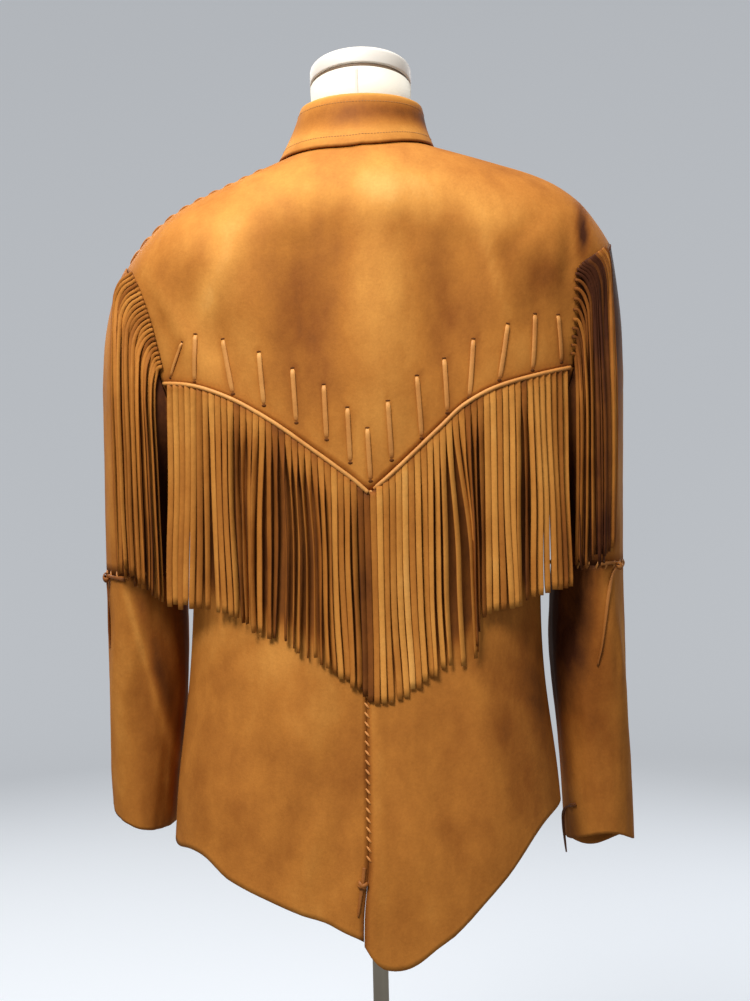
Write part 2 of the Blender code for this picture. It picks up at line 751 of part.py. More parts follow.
def build_front(name, side, look):
    """The left front laps over the right one."""
    hem = FRONT_HEM_LEFT if side < 0 else FRONT_HEM_RIGHT
    shares = half_shares()
    shares = [0, side * BESIDE_MIDDLE] + [side * share for share in shares[1:]]

    def low_of(x):
        return read(hem, side * (x - read(BODY, VENT_TOP_Z, "lean")), "z")

    def lift(out):
        if side > 0:
            return 0.0
        return OVERLAP_LIFT * (1 - ease(OVERLAP, OVERLAP_BLEND, -out))

    columns = column_ends(shares, low_of, lambda x: top_z(x, False))
    rows = underarm_rows(columns[-1], *FRONT_PANEL_ROWS, True)
    edges = {0: lambda z: -side * OVERLAP, side * BESIDE_MIDDLE: lambda z: side * OVERLAP}
    place = body_place(False, edges, lift)
    return cloth(name, columns, rows, place, look)


def shoulder_tip(side):
    """Height at which the shoulder line meets the armhole."""
    return settle(side, ridge_z)


def armhole_point(side, turn):
    """A point of the armhole's edge on the cloth's outer face; turn 0 is the tip, pi the underarm."""
    tip = shoulder_tip(side)
    z = (tip + UNDERARM_Z) / 2 + (tip - UNDERARM_Z) / 2 * math.cos(turn)
    x = body_x(side, z)
    back = math.sin(turn) >= 0
    out = body_normal(x, z, back)
    away = Vector((side, 0, 0))
    away = (2 * away - out * away.dot(out)).normalized()
    return body_point(x, z, back, LEATHER) + away * ARMHOLE_GAP


def cuff_lift(side, turn):
    """Height of the cuff's edge above the sleeve's last ring."""
    cuff = CUFFS[side]
    across = (cuff.outer + cuff.inner) / 2 + (cuff.outer - cuff.inner) / 2 * math.cos(turn)
    face = cuff.back if math.sin(turn) > 0 else cuff.front
    return across + (face - (cuff.outer + cuff.inner) / 2) * math.sin(turn) ** 2


def ring_point(side, step, turn):
    """A point of the sleeve's outer face, without what the armhole does to it."""
    out_x, in_x = read(SLEEVE, step, "out_x"), read(SLEEVE, step, "in_x")
    if side < 0:
        out_x += read(LEFT_SLEEVE, step, "out_x")
        in_x += read(LEFT_SLEEVE, step, "in_x")
    out_z, in_z = read(SLEEVE, step, "out_z"), read(SLEEVE, step, "in_z")
    share = math.cos(turn)
    x = (out_x + in_x) / 2 + (out_x - in_x) / 2 * share
    z = (out_z + in_z) / 2 + (out_z - in_z) / 2 * share
    z += ease(CUFF_STEP - CUFF_BLEND, CUFF_STEP, step) * cuff_lift(side, turn)
    depth = read(SLEEVE, step, "half_depth")
    push = 0.0
    for crease in SLEEVE_FOLDS:
        along = z - crease.z
        round_by = (turn - crease.angle - crease.slope * along + math.pi) % math.tau - math.pi
        near = (round_by / crease.half_angle) ** 2 + (along / crease.half_z) ** 2
        push += crease.depth * math.exp(-near)
    push *= ease(1.0, 3.0, step)
    y = read(SLEEVE, step, "mid_y") - (depth + push) * math.sin(turn)
    return Vector((side * (x + push * share), y, z))


def sleeve_point(side, step, turn):
    """A point of the sleeve's outer face."""
    point = ring_point(side, step, turn)
    if step < ARMHOLE_BLEND:
        start = armhole_point(side, turn)
        # Straight from the armhole's edge to the free tube
        point = start.lerp(point, ease(0.0, ARMHOLE_BLEND, step) if step else 0.0)
    return point


def sleeve_axis(point):
    """The middle of the sleeve at a point's height."""
    side = math.copysign(1, point.x)
    at = min(SLEEVE, key=lambda ring: abs((ring.out_z + ring.in_z) / 2 - point.z))
    return Vector((side * (at.out_x + at.in_x) / 2, at.mid_y, point.z))


def build_sleeve(name, side, steps, look, covers):
    turns = [math.tau * k / ROUND_SLEEVE for k in range(ROUND_SLEEVE + 1)]
    mesh = grid(turns, steps, lambda turn, step: sleeve_point(side, step, turn % math.tau), True)
    bmesh.ops.triangulate(mesh, faces=mesh.faces)
    face_outwards(mesh, sleeve_axis)
    covers.append((BVHTree.FromBMesh(mesh), 0.0))
    return finish(name, mesh, look, LEATHER, -1.0)


def seen_y(covers, x, z):
    """Depth of the outermost cloth of the back at x and z, or None beside it."""
    aside = 2 * SEAM
    for step_x, step_z in ((0, 0), (0, aside), (0, -aside), (aside, 0), (-aside, 0)):
        found = []
        for tree, wall in covers:
            start = Vector((x + step_x, -1, z + step_z))
            spot, normal, _, _ = tree.ray_cast(start, Vector((0, 1, 0)))
            if spot is not None:
                found.append(spot.y - wall / max(abs(normal.y), STEEPEST))
        if found:
            return min(found)
    return None


def seat(covers, x, z, gap):
    """A point that lies on the back's cloth, and the direction away from it."""
    heights = [seen_y(covers, x, z + step) for step in (-SEAT_REACH, SEAT_REACH)]
    sides = [seen_y(covers, x + step, z) for step in (-SEAT_REACH, SEAT_REACH)]
    y = seen_y(covers, x, z)
    out = Vector((0, -1, 0))
    if None not in heights + sides:
        out = Vector((sides[1] - sides[0], -2 * SEAT_REACH, heights[1] - heights[0])).normalized()
    return Vector((x, y, z)) + out * gap, out


def hang(covers, xs, zs, start, layer):
    """Depths of a strand that hangs from start, pushed out by what lies behind it."""
    depths = [start] + [start + layer] * (len(zs) - 1)
    for _ in range(HANG_ROUNDS):
        for k in range(1, len(zs)):
            depths[k] = min(depths[k], depths[k - 1])
            for part in HANG_CHECKS:
                x = xs[k - 1] + (xs[k] - xs[k - 1]) * part
                z = zs[k - 1] + (zs[k] - zs[k - 1]) * part
                behind = [seen_y(covers, x + beside, z) for beside in (-STRAND_BESIDE, STRAND_BESIDE)]
                behind = [y for y in behind if y is not None]
                if not behind:
                    continue
                here = depths[k - 1] + (depths[k] - depths[k - 1]) * part
                short = here - (min(behind) - STRAND_CLEAR)
                if short > 0:
                    depths[k] -= short
                    depths[k - 1] -= short if k > 1 else 0.0
    return depths


def comb(name, strands, look):
    """A cut fringe: strands are (left line, right line), each from the strip's top down."""
    rows = len(strands[0][0])
    mesh = grid(
        range(2 * len(strands)),
        range(rows),
        lambda i, j: strands[i // 2][i % 2][j],
    )
    mesh.verts.ensure_lookup_table()
    wide = 2 * len(strands)
    index = {vert: (k % wide, k // wide) for k, vert in enumerate(mesh.verts)}
    gaps = []
    for face in mesh.faces:
        spots = [index[vert] for vert in face.verts]
        left = min(spot[0] for spot in spots)
        top = min(spot[1] for spot in spots)
        if left % 2 == 1 and top >= 1:
            gaps.append(face)
    bmesh.ops.delete(mesh, geom=gaps, context="FACES")
    face_outwards(mesh, lambda point: Vector((point.x * 0.8, 0, point.z)))
    return finish(name, mesh, look, STRAND_THICK, 1.0, even=False)


def build_yoke_fringe(name, side, look, covers):
    rng = random.Random(11 + side)
    pitch = YOKE_FRINGE_HALF / YOKE_STRANDS
    edge = YOKE_LEFT if side < 0 else YOKE_RIGHT
    strands = []
    for k in range(YOKE_STRANDS):
        middle = side * pitch * (k + 0.5)
        long = read(YOKE_FRINGE, middle, "long") * rng.uniform(0.985, 1.015)
        drift = read(YOKE_FRINGE, middle, "drift")
        sway = rng.uniform(-STRAND_SWAY, STRAND_SWAY)
        layer = -LAYER_STEP * (k % 2)
        lines = []
        for end in (-side, side):
            x = middle + end * pitch * STRAND_SHARE / 2
            top = read(edge, abs(x), "z") - STRIP_BELOW_EDGE
            lines.append((x, top))
        root = (lines[0][1] + lines[1][1]) / 2 - STRIP_DEPTH
        zs = [root] + [root - long * part for part in YOKE_ROWS]
        shift = [0.0] + [drift * part + sway * math.sin(math.pi * part) for part in YOKE_ROWS]
        start = seat(covers, middle, root, STRIP_LIE)[0].y
        depths = hang(covers, [middle + s for s in shift], zs, start, layer)
        strand = []
        for x, top in lines:
            line = [seat(covers, x, z, STRIP_LIE)[0] for z in (top, top - STRIP_DEPTH)]
            line += [Vector((x + shift[j], depths[j], zs[j])) for j in range(1, len(zs))]
            strand.append(line)
        strands.append(strand)
    return comb(name, strands, look)


def arm_root(side, part):
    """A root of the armhole's fringe as (x, z), and the way out from it, square to the row of roots."""
    roots = ARMHOLE_FRINGE[side]
    above, here, below = (
        Vector((side * read(roots, at, "x"), read(roots, at, "z")))
        for at in (part - ROOT_STEP, part, part + ROOT_STEP)
    )
    down = (below - above).normalized()
    return here, Vector((-down.y, down.x)) * side


def build_armhole_fringe(name, side, look, covers):
    rng = random.Random(21 + side)
    roots = ARMHOLE_FRINGE[side]
    half = STRAND_SHARE / 2 / ARMHOLE_STRANDS
    strands = []
    for k in range(ARMHOLE_STRANDS):
        part = (k + 0.5) / ARMHOLE_STRANDS
        long = read(roots, part, "long") * rng.uniform(0.98, 1.02)
        column = side * read(roots, part, "fall")
        root = arm_root(side, part)[0]
        start = seen_y(covers, root.x, root.y) - ARMHOLE_LIE
        zs = [root.y] + [root.y - long * row for row in ARMHOLE_ROWS]
        depths = hang(covers, [root.x] + [column] * len(ARMHOLE_ROWS), zs, start, 0.0)
        strand = []
        for end in (-1, 1):
            low, out = arm_root(side, part + end * half)
            high = low - out * STRIP_DEPTH
            line = [Vector((at.x, seen_y(covers, at.x, at.y) - ARMHOLE_LIE, at.y)) for at in (high, low)]
            x = column - side * end * ARMHOLE_STRAND_WIDE / 2
            line += [Vector((x, depths[j], zs[j])) for j in range(1, len(zs))]
            strand.append(line)
        strands.append(strand)
    return comb(name, strands, look)


def build_welt(name, side, look, covers):
    edge = YOKE_LEFT if side < 0 else YOKE_RIGHT
    middles = []
    for k in range(WELT_PARTS + 1):
        x = side * (WELT_START + (YOKE_FRINGE_HALF - WELT_START) * k / WELT_PARTS)
        middles.append(seat(covers, x, read(edge, abs(x), "z"), LIE_ON + WELT_RADIUS)[0])
    sections = []
    for k, middle in enumerate(middles):
        along = (middles[min(k + 1, WELT_PARTS)] - middles[max(k - 1, 0)]).normalized()
        out = body_normal(middle.x, middle.z, True)
        up = along.cross(out).normalized()
        out = up.cross(along).normalized()
        loop = []
        for spot in range(WELT_SIDES):
            turn = math.tau * spot / WELT_SIDES
            loop.append(middle + WELT_RADIUS * (math.cos(turn) * out + math.sin(turn) * up))
        sections.append(loop)
    return bar(name, sections, look)


def build_stitch(name, stitch, width, look, covers):
    high, low = Vector((stitch.top_x, stitch.top_z)), Vector((stitch.foot_x, stitch.foot_z))
    spots = [high.lerp(low, k / STITCH_PARTS) for k in range(STITCH_PARTS + 1)]
    points, outs = zip(*(seat(covers, spot.x, spot.y, LIE_ON) for spot in spots))
    end, full = (width * LACE_END, STITCH_THICK * LACE_END), (width, STITCH_THICK)
    return lace(name, points, outs, [end] + [full] * (STITCH_PARTS - 1) + [end], look)


def neck_rim(turn, out):
    """A point beside the neckline ellipse: turn 0 is the centre back, positive to the right."""
    x = math.sin(turn) * (NECK_HALF_WIDTH + out)
    depth = NECK_BACK if math.cos(turn) > 0 else NECK_FRONT
    y = SHOULDER_SEAM_Y - math.cos(turn) * (depth + out)
    return Vector((x, y, 0))


def rim_z(turn):
    """Height of the neckline's edge on the inner face."""
    point = neck_rim(turn, 0)
    return top_z(point.x * 0.9999, math.cos(turn) > 0)


def collar_lean(turn):
    share = (1 + math.cos(turn)) / 2
    return COLLAR_TOP_IN + (COLLAR_TOP_BACK_IN - COLLAR_TOP_IN) * share


def collar_turns(count):
    return [COLLAR_END * (2 * k / count - 1) for k in range(count + 1)]


def build_collar_stand(look):
    def place(turn, row):
        low = rim_z(turn) + LEATHER + 2 * SEAM + COLLAR_FRONT_LIFT * ease(1.9, 2.7, abs(turn))
        high = read(COLLAR, abs(turn), "top_z") - COLLAR_FOLD - LEATHER
        point = neck_rim(turn, -collar_lean(turn) * row)
        point.z = low + (high - low) * row
        return point

    mesh = grid(collar_turns(28), [0, 0.5, 1], place)
    face_outwards(mesh, body_axis)
    return finish("collar_stand", mesh, look, LEATHER)


def build_collar_leaf(look):
    """The leaf starts over the stand's edge, turns over and lies down on the yoke."""
    fold = (0.0, 0.22, 0.5, 0.78, 1.0)

    def place(turn, row):
        top = read(COLLAR, abs(turn), "top_z")
        lean = collar_lean(turn)
        leaf_out = read(COLLAR, abs(turn), "left_out" if turn < 0 else "right_out")
        if row <= 1:
            angle = math.pi * (1 - row)
            out = -lean + COLLAR_FOLD * (1 + math.cos(angle)) - 0.0002
            point = neck_rim(turn, out)
            point.z = top - COLLAR_FOLD + COLLAR_FOLD * math.sin(angle)
            return point
        part = row - 1
        back = math.cos(turn) > 0
        over = COLLAR_LIFT + LEATHER + OVERLAP_LIFT * ease(2.0, 2.6, abs(turn))
        foot = neck_rim(turn, leaf_out)
        foot.z = surface_z(foot.x, foot.y)
        foot += body_normal(foot.x, foot.z, back) * over
        start = neck_rim(turn, -lean + 2 * COLLAR_FOLD)
        start.z = top - COLLAR_FOLD
        point = start.lerp(foot, part)
        bow = COLLAR_BOW * math.sin(math.pi * part)
        point += Vector((math.sin(turn) * bow, -math.cos(turn) * bow, 0))
        if point.z < ridge_z(point.x) - 2 * SEAM:
            y = body_y(point.x, point.z, back)
            point.y = min(point.y, y - over) if back else max(point.y, y + over)
        return point

    rows = list(fold) + [1.25, 1.5, 1.75, 2.0]
    mesh = grid(collar_turns(30), rows, place)
    face_outwards(mesh, lambda point: Vector((0, 0, 1.36)))
    return finish("collar_leaf", mesh, look, LEATHER)


def build_buttons(look):
    for k, height in enumerate(BUTTON_HEIGHTS):
        x = read(BODY, height, "lean")
        out = body_normal(x, height, False)
        base = body_point(x, height, False, LEATHER + OVERLAP_LIFT + LIE_ON + BUTTON_THICK / 2)
        mesh = bmesh.new()
        bmesh.ops.create_cone(
            mesh, cap_ends=True, segments=BUTTON_SIDES,
            radius1=BUTTON_RADIUS, radius2=BUTTON_RADIUS, depth=BUTTON_THICK,
        )
        turn = out.to_track_quat("Z", "Y").to_matrix().to_4x4()
        bmesh.ops.transform(mesh, matrix=turn, verts=mesh.verts)
        obj = finish(f"button_{k + 1}", mesh, look)
        obj.location = base


def build_tie(tie, look, covers):
    """A lace whose knot and ends lie against the cloth, or hang free past its edge."""
    points, outs = [], []
    for x, z in tie.path:
        y = seen_y(covers, x, z)
        if y is None or points and y > points[-1].y + FREE_FALL:
            points.append(Vector((x, points[-1].y, z)))
            outs.append(outs[-1])
            continue
        point, out = seat(covers, x, z, tie.clear)
        points.append(point)
        outs.append(out)
    sizes = [(TIE_WIDTH, TIE_THICK)] * len(points)
    sizes[tie.knot_at] = (KNOT_WIDTH, KNOT_THICK)
    return lace(tie.name, points, outs, sizes, look)


def form_limit(z):
    """Half width of the form's shoulders at a height, where the shoulder line comes down to it."""
    low, high = 0.0, 0.26
    for _ in range(HALVINGS):
        mid = (low + high) / 2
        above = read(SHOULDER_LEFT, mid, "z") - FORM_GAP_Z > z
        low, high = (mid, high) if above else (low, mid)
    return (low + high) / 2


def form_point(turn, z):
    """A point of the form's body; turn 0 is the left side, and it passes the back first."""
    half = min(read(FORM, z, "half_width"), form_limit(z))
    side, depth_share = math.cos(turn), math.sin(turn)
    x = -math.copysign(abs(side) ** (2 / RING_POWER), side) * half
    back = depth_share >= 0
    depth = read(FORM, z, "back" if back else "front")
    below = (ridge_z(x) - FORM_GAP_Z - z) / (BACK_CLOSE if back else FRONT_CLOSE)
    closing = (1 - (1 - min(max(below, 0.0), 1.0)) ** FORM_CLOSE_POWER) ** (1 / FORM_CLOSE_POWER)
    seam_y = SHOULDER_SEAM_Y * ease(UNDERARM_Z, SHOULDER_TIP_Z, z)
    reach = depth * abs(depth_share) ** (2 / RING_POWER)
    free = (1 - min(abs(x) / read(FORM, z, "half_width"), 1.0) ** RING_POWER) ** (1 / RING_POWER)
    if z > FORM_CLOSES_ABOVE:
        reach = min(reach, depth * free * closing * FORM_SHOULDER)
    return Vector((x, seam_y - (reach + seam_y) if back else seam_y + (reach - seam_y), z))


def build_form(look):
    turns = [math.tau * k / FORM_SIDES for k in range(FORM_SIDES)]
    sections = [[form_point(turn, z) for turn in turns] for z in FORM_LEVELS]
    return bar("form_body", sections, look)


def neck_ring(along, radius, level=False):
    """A ring of the neck, square to its leaning axis or level at its foot."""
    lean = math.atan(NECK_TILT)
    axis = Vector((0, math.sin(lean), math.cos(lean)))
    across, forward = Vector((1, 0, 0)), Vector((0, math.cos(lean), -math.sin(lean)))
    foot = Vector((0, NECK_FOOT_Y, FORM_LEVELS[-1] + SEAM))
    loop = []
    for k in range(FORM_SIDES):
        turn = math.tau * k / FORM_SIDES
        point = foot + axis * along + radius * (math.cos(turn) * across + math.sin(turn) * forward)
        if level:
            point -= axis * ((point.z - foot.z - along) / axis.z)
        loop.append(point)
    return loop


def build_neck(canvas, cap_look, ring_look):
    top = NECK_LONG
    sections = [neck_ring(top * part, radius, part == 0) for part, radius in NECK_RINGS]
    bar("form_neck", sections, canvas)
    low = top + SEAM
    sections = [neck_ring(low, RING_RADIUS), neck_ring(low + RING_THICK, RING_RADIUS)]
    bar("neck_ring", sections, ring_look)
    low += RING_THICK + SEAM
    sections = [neck_ring(low, CAP_RADIUS - CAP_FOOT), neck_ring(low + CAP_FOOT, CAP_RADIUS)]
    for k in range(4):
        turn = math.pi / 2 * k / 3
        rise = low + CAP_THICK - CAP_ROUND * (1 - math.sin(turn))
        sections.append(neck_ring(rise, CAP_RADIUS - CAP_ROUND * (1 - math.cos(turn))))
    bar("neck_cap", sections, cap_look)


def turned(name, profile, sides, look):
    """A solid of revolution about the pole's axis from (radius, height) pairs."""
    sections = []
    for radius, height in profile:
        loop = []
        for k in range(sides):
            turn = math.tau * k / sides
            loop.append(Vector((radius * math.cos(turn), radius * math.sin(turn), height)))
        sections.append(loop)
    return bar(name, sections, look)


def build_stand(look):
    foot = BASE_THICK + BOSS_HEIGHT
    turned(
        "stand_base",
        (
            (BASE_RADIUS, 0.0), (BASE_RADIUS, BASE_THICK - STAND_BEVEL),
            (BASE_RADIUS - STAND_BEVEL, BASE_THICK),
        ),
        32, look,
    )
    turned(
        "stand_boss",
        (
            (BOSS_RADIUS, BASE_THICK + SEAM), (BOSS_RADIUS, foot - STAND_BEVEL),
            (BOSS_RADIUS - STAND_BEVEL, foot),
        ),
        24, look,
    )
    under = FORM_LEVELS[0] - SEAM
    turned("stand_flange", ((FLANGE_RADIUS, under - FLANGE_THICK), (FLANGE_RADIUS, under)), 24, look)
    turned(
        "stand_pole",
        ((POLE_RADIUS, foot + SEAM), (POLE_RADIUS, under - FLANGE_THICK - SEAM)),
        POLE_SIDES, look,
    )


def main():
    for obj in list(bpy.data.objects):
        bpy.data.objects.remove(obj)
    skin = material("buckskin", BUCKSKIN, 0.78)
    dark = material("buckskin lace", BUCKSKIN_DARK, 0.72)
    canvas = material("canvas", CANVAS, 0.85)
    white = material("cap", CAP_WHITE, 0.55)
    brown = material("ring", RING_BROWN, 0.6)
    steel = material("steel", STEEL, 0.35, 1.0)
    horn = material("horn", HORN, 0.4)

    covers = []
    build_yoke(skin, covers)
    upper = [0, 0.5, 1, 1.7, 2.6, 3.4, 4.2, 5.1, ELBOW_STEP]
    lower = [ELBOW_STEP + ELBOW_GAP, 6.7, 7.4, 8.2, 9, 9.5, CUFF_STEP]
    for side, word in ((-1, "left"), (1, "right")):
        build_lower_back(f"back_{word}", side, skin, covers)
        build_front(f"front_{word}", side, skin)
        build_sleeve(f"sleeve_upper_{word}", side, upper, skin, covers)
        build_sleeve(f"sleeve_lower_{word}", side, lower, skin, covers)
    for side, word in ((-1, "left"), (1, "right")):
        build_yoke_fringe(f"fringe_yoke_{word}", side, skin, covers)
        build_armhole_fringe(f"fringe_armhole_{word}", side, skin, covers)
        build_welt(f"welt_{word}", side, dark, covers)
    for k, stitch in enumerate(STITCHES):
        build_stitch(f"lace_{k + 1:02d}", stitch, STITCH_WIDTH, dark, covers)
    build_stitch("lace_side", SIDE_LACE, SIDE_LACE_WIDTH, dark, covers)
    for tie in TIES:
        build_tie(tie, dark, covers)
    build_collar_stand(skin)
    build_collar_leaf(skin)
    build_buttons(horn)
    build_form(canvas)
    build_neck(canvas, white, brown)
    build_stand(steel)


main()
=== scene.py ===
import math
import random
from bisect import bisect_right
from collections import namedtuple

import bmesh
import bpy
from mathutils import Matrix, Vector, noise
from mathutils.bvhtree import BVHTree


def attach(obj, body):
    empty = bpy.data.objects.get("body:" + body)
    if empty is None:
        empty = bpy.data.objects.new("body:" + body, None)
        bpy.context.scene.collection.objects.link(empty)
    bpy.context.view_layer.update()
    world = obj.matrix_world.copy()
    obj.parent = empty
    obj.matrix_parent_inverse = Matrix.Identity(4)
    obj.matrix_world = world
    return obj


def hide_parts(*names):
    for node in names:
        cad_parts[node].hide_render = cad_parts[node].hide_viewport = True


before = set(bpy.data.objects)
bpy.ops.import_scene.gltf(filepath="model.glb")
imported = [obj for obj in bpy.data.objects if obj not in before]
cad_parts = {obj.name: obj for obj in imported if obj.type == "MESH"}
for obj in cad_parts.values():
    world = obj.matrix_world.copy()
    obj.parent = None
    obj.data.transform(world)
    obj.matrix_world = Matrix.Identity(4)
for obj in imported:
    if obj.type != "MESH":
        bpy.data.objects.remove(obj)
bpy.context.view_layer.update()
print("frame loaded")

sides = ((-1, "Left"), (1, "Right"))
leather = {
    "thick": 0.0016, "seam": 0.0004, "lieOn": 0.0003, "underarm": 1.100, "ventTop": 0.740, "ventOpens": 0.050,
}
neckline = {"halfWidth": 0.066, "back": 0.062, "front": 0.082, "seamY": -0.004, "tip": 1.327}
rounding = {
    "ring": 2.35, "close": 2.2, "backClose": 0.100, "frontClose": 0.115,
    "armAngle": math.radians(33), "armCurve": 0.090,
}

# Rings of the body
Ring = namedtuple("Ring", "z halfWidth back front lean")
bodyRings = (
    Ring(0.600, 0.198, 0.126, 0.118, -0.0145),
    Ring(0.690, 0.196, 0.124, 0.118, -0.0138),
    Ring(0.740, 0.195, 0.122, 0.117, -0.0087),
    Ring(0.800, 0.191, 0.118, 0.114, -0.0078),
    Ring(0.900, 0.179, 0.111, 0.110, -0.0070),
    Ring(0.970, 0.175, 0.108, 0.110, -0.0055),
    Ring(1.040, 0.175, 0.111, 0.116, -0.0030),
    Ring(1.100, 0.184, 0.117, 0.124, -0.0012),
    Ring(1.150, 0.207, 0.122, 0.127, -0.0008),
    Ring(1.200, 0.229, 0.125, 0.121, 0.0),
    Ring(1.260, 0.246, 0.124, 0.108, 0.0),
    Ring(1.300, 0.263, 0.121, 0.098, 0.0),
    Ring(1.330, 0.283, 0.118, 0.092, 0.0),
    Ring(1.450, 0.330, 0.112, 0.080, 0.0),
)

# Edges of the cut, from the middle outwards
Edge = namedtuple("Edge", "out z")
shoulderLine = {
    -1: (
        Edge(0.000, 1.4440), Edge(0.040, 1.4375), Edge(0.075, 1.4241), Edge(0.127, 1.4018),
        Edge(0.180, 1.3767), Edge(0.212, 1.3517), Edge(0.232, 1.3272), Edge(0.250, 1.3028),
    ),
    1: (
        Edge(0.000, 1.4440), Edge(0.040, 1.4410), Edge(0.075, 1.4314), Edge(0.127, 1.4162),
        Edge(0.180, 1.3985), Edge(0.212, 1.3783), Edge(0.232, 1.3548), Edge(0.250, 1.3270),
    ),
}
yokeEdge = {
    -1: (
        Edge(0.000, 1.087), Edge(0.022, 1.106), Edge(0.055, 1.131), Edge(0.092, 1.158),
        Edge(0.130, 1.180), Edge(0.168, 1.194), Edge(0.215, 1.199),
    ),
    1: (
        Edge(0.000, 1.087), Edge(0.030, 1.114), Edge(0.068, 1.149), Edge(0.088, 1.167),
        Edge(0.117, 1.183), Edge(0.156, 1.195), Edge(0.215, 1.209),
    ),
}
backHem = {
    -1: (
        Edge(0.0050, 0.6712), Edge(0.0283, 0.6826), Edge(0.0412, 0.6893), Edge(0.0652, 0.6967),
        Edge(0.1323, 0.7241), Edge(0.1557, 0.7419), Edge(0.1718, 0.7464), Edge(0.1892, 0.7444),
        Edge(0.2000, 0.7510),
    ),
    1: (
        Edge(-0.0060, 0.6680), Edge(0.0034, 0.6532), Edge(0.0125, 0.6456), Edge(0.0292, 0.6442),
        Edge(0.0442, 0.6494), Edge(0.0629, 0.6629), Edge(0.0818, 0.6750), Edge(0.1280, 0.7189),
        Edge(0.1690, 0.7642), Edge(0.2000, 0.7790),
    ),
}
frontHem = {
    -1: (
        Edge(-0.020, 0.716), Edge(0.050, 0.718), Edge(0.110, 0.728), Edge(0.165, 0.743), Edge(0.200, 0.751),
    ),
    1: (
        Edge(-0.020, 0.716), Edge(0.050, 0.718), Edge(0.110, 0.732), Edge(0.165, 0.762), Edge(0.200, 0.779),
    ),
}

# Rings of a sleeve from the armhole, 0, past the elbow seam, 6, to the cuff, 10
SleeveRing = namedtuple("SleeveRing", "step outX outZ inX inZ midY halfDepth")
sleeveRings = (
    SleeveRing(0, 0.2440, 1.327, 0.1840, 1.100, 0.000, 0.070),
    SleeveRing(1, 0.2530, 1.305, 0.1885, 1.092, 0.001, 0.077),
    SleeveRing(2, 0.2580, 1.270, 0.1885, 1.082, 0.004, 0.081),
    SleeveRing(3, 0.2600, 1.225, 0.1890, 1.067, 0.008, 0.082),
    SleeveRing(4, 0.2600, 1.165, 0.1895, 1.048, 0.012, 0.080),
    SleeveRing(5, 0.2590, 1.094, 0.1905, 1.033, 0.016, 0.077),
    SleeveRing(6, 0.2585, 1.012, 0.1915, 1.012, 0.020, 0.073),
    SleeveRing(7, 0.2605, 0.930, 0.1930, 0.930, 0.027, 0.069),
    SleeveRing(8, 0.2635, 0.860, 0.1940, 0.860, 0.035, 0.066),
    SleeveRing(9, 0.2670, 0.800, 0.1965, 0.800, 0.042, 0.063),
    SleeveRing(10, 0.2695, 0.772, 0.1990, 0.752, 0.046, 0.061),
)
LeftSleeve = namedtuple("LeftSleeve", "step outX inX")
leftSleeve = (
    LeftSleeve(0, 0.0, 0.0025),
    LeftSleeve(2, 0.0050, 0.0025),
    LeftSleeve(4, 0.0100, 0.0030),
    LeftSleeve(6, 0.0135, 0.0035),
    LeftSleeve(8, 0.0115, 0.0065),
    LeftSleeve(9, 0.0090, 0.0100),
    LeftSleeve(10, 0.0065, 0.0115),
)
Cuff = namedtuple("Cuff", "outer back inner front")
cuffs = {-1: Cuff(-0.001, -0.008, -0.002, -0.006), 1: Cuff(-0.0515, -0.024, -0.030, -0.066)}
sleeveCut = {"elbow": 6, "cuff": 10, "gap": 0.0015, "elbowGap": 0.006, "blend": 2.6, "cuffBlend": 1.6}

# Soft folds: place, half sizes, how the fold leans, and its depth, inwards if negative
Fold = namedtuple("Fold", "x z halfX halfZ turn depth")
backFolds = (
    Fold(-0.055, 1.270, 0.040, 0.110, 0.00, -0.0050),
    Fold(0.085, 1.270, 0.040, 0.100, 0.00, -0.0055),
    Fold(0.012, 1.230, 0.028, 0.150, 0.00, 0.0035),
    Fold(-0.120, 1.285, 0.030, 0.060, -0.70, 0.0030),
    Fold(-0.150, 1.245, 0.022, 0.060, -0.60, -0.0040),
    Fold(0.195, 1.310, 0.010, 0.035, 0.00, -0.0060),
    Fold(0.165, 1.260, 0.022, 0.040, 0.20, -0.0040),
    Fold(-0.070, 0.900, 0.030, 0.120, 0.10, 0.0040),
    Fold(-0.115, 0.850, 0.025, 0.140, -0.05, -0.0045),
    Fold(-0.030, 0.830, 0.024, 0.110, 0.10, -0.0030),
    Fold(0.060, 0.860, 0.032, 0.130, -0.15, -0.0040),
    Fold(0.110, 0.830, 0.024, 0.110, -0.20, 0.0040),
)
frontFolds = (
    Fold(-0.070, 1.240, 0.030, 0.100, 0.30, -0.0040),
    Fold(0.075, 1.230, 0.030, 0.110, -0.30, -0.0040),
    Fold(-0.120, 1.120, 0.026, 0.120, 0.15, 0.0040),
    Fold(0.120, 1.110, 0.026, 0.120, -0.15, 0.0040),
    Fold(-0.080, 0.880, 0.028, 0.140, 0.05, 0.0045),
    Fold(0.085, 0.870, 0.028, 0.140, -0.05, 0.0045),
    Fold(-0.125, 0.860, 0.022, 0.120, 0.00, -0.0040),
    Fold(0.130, 0.860, 0.022, 0.120, 0.00, -0.0040),
)
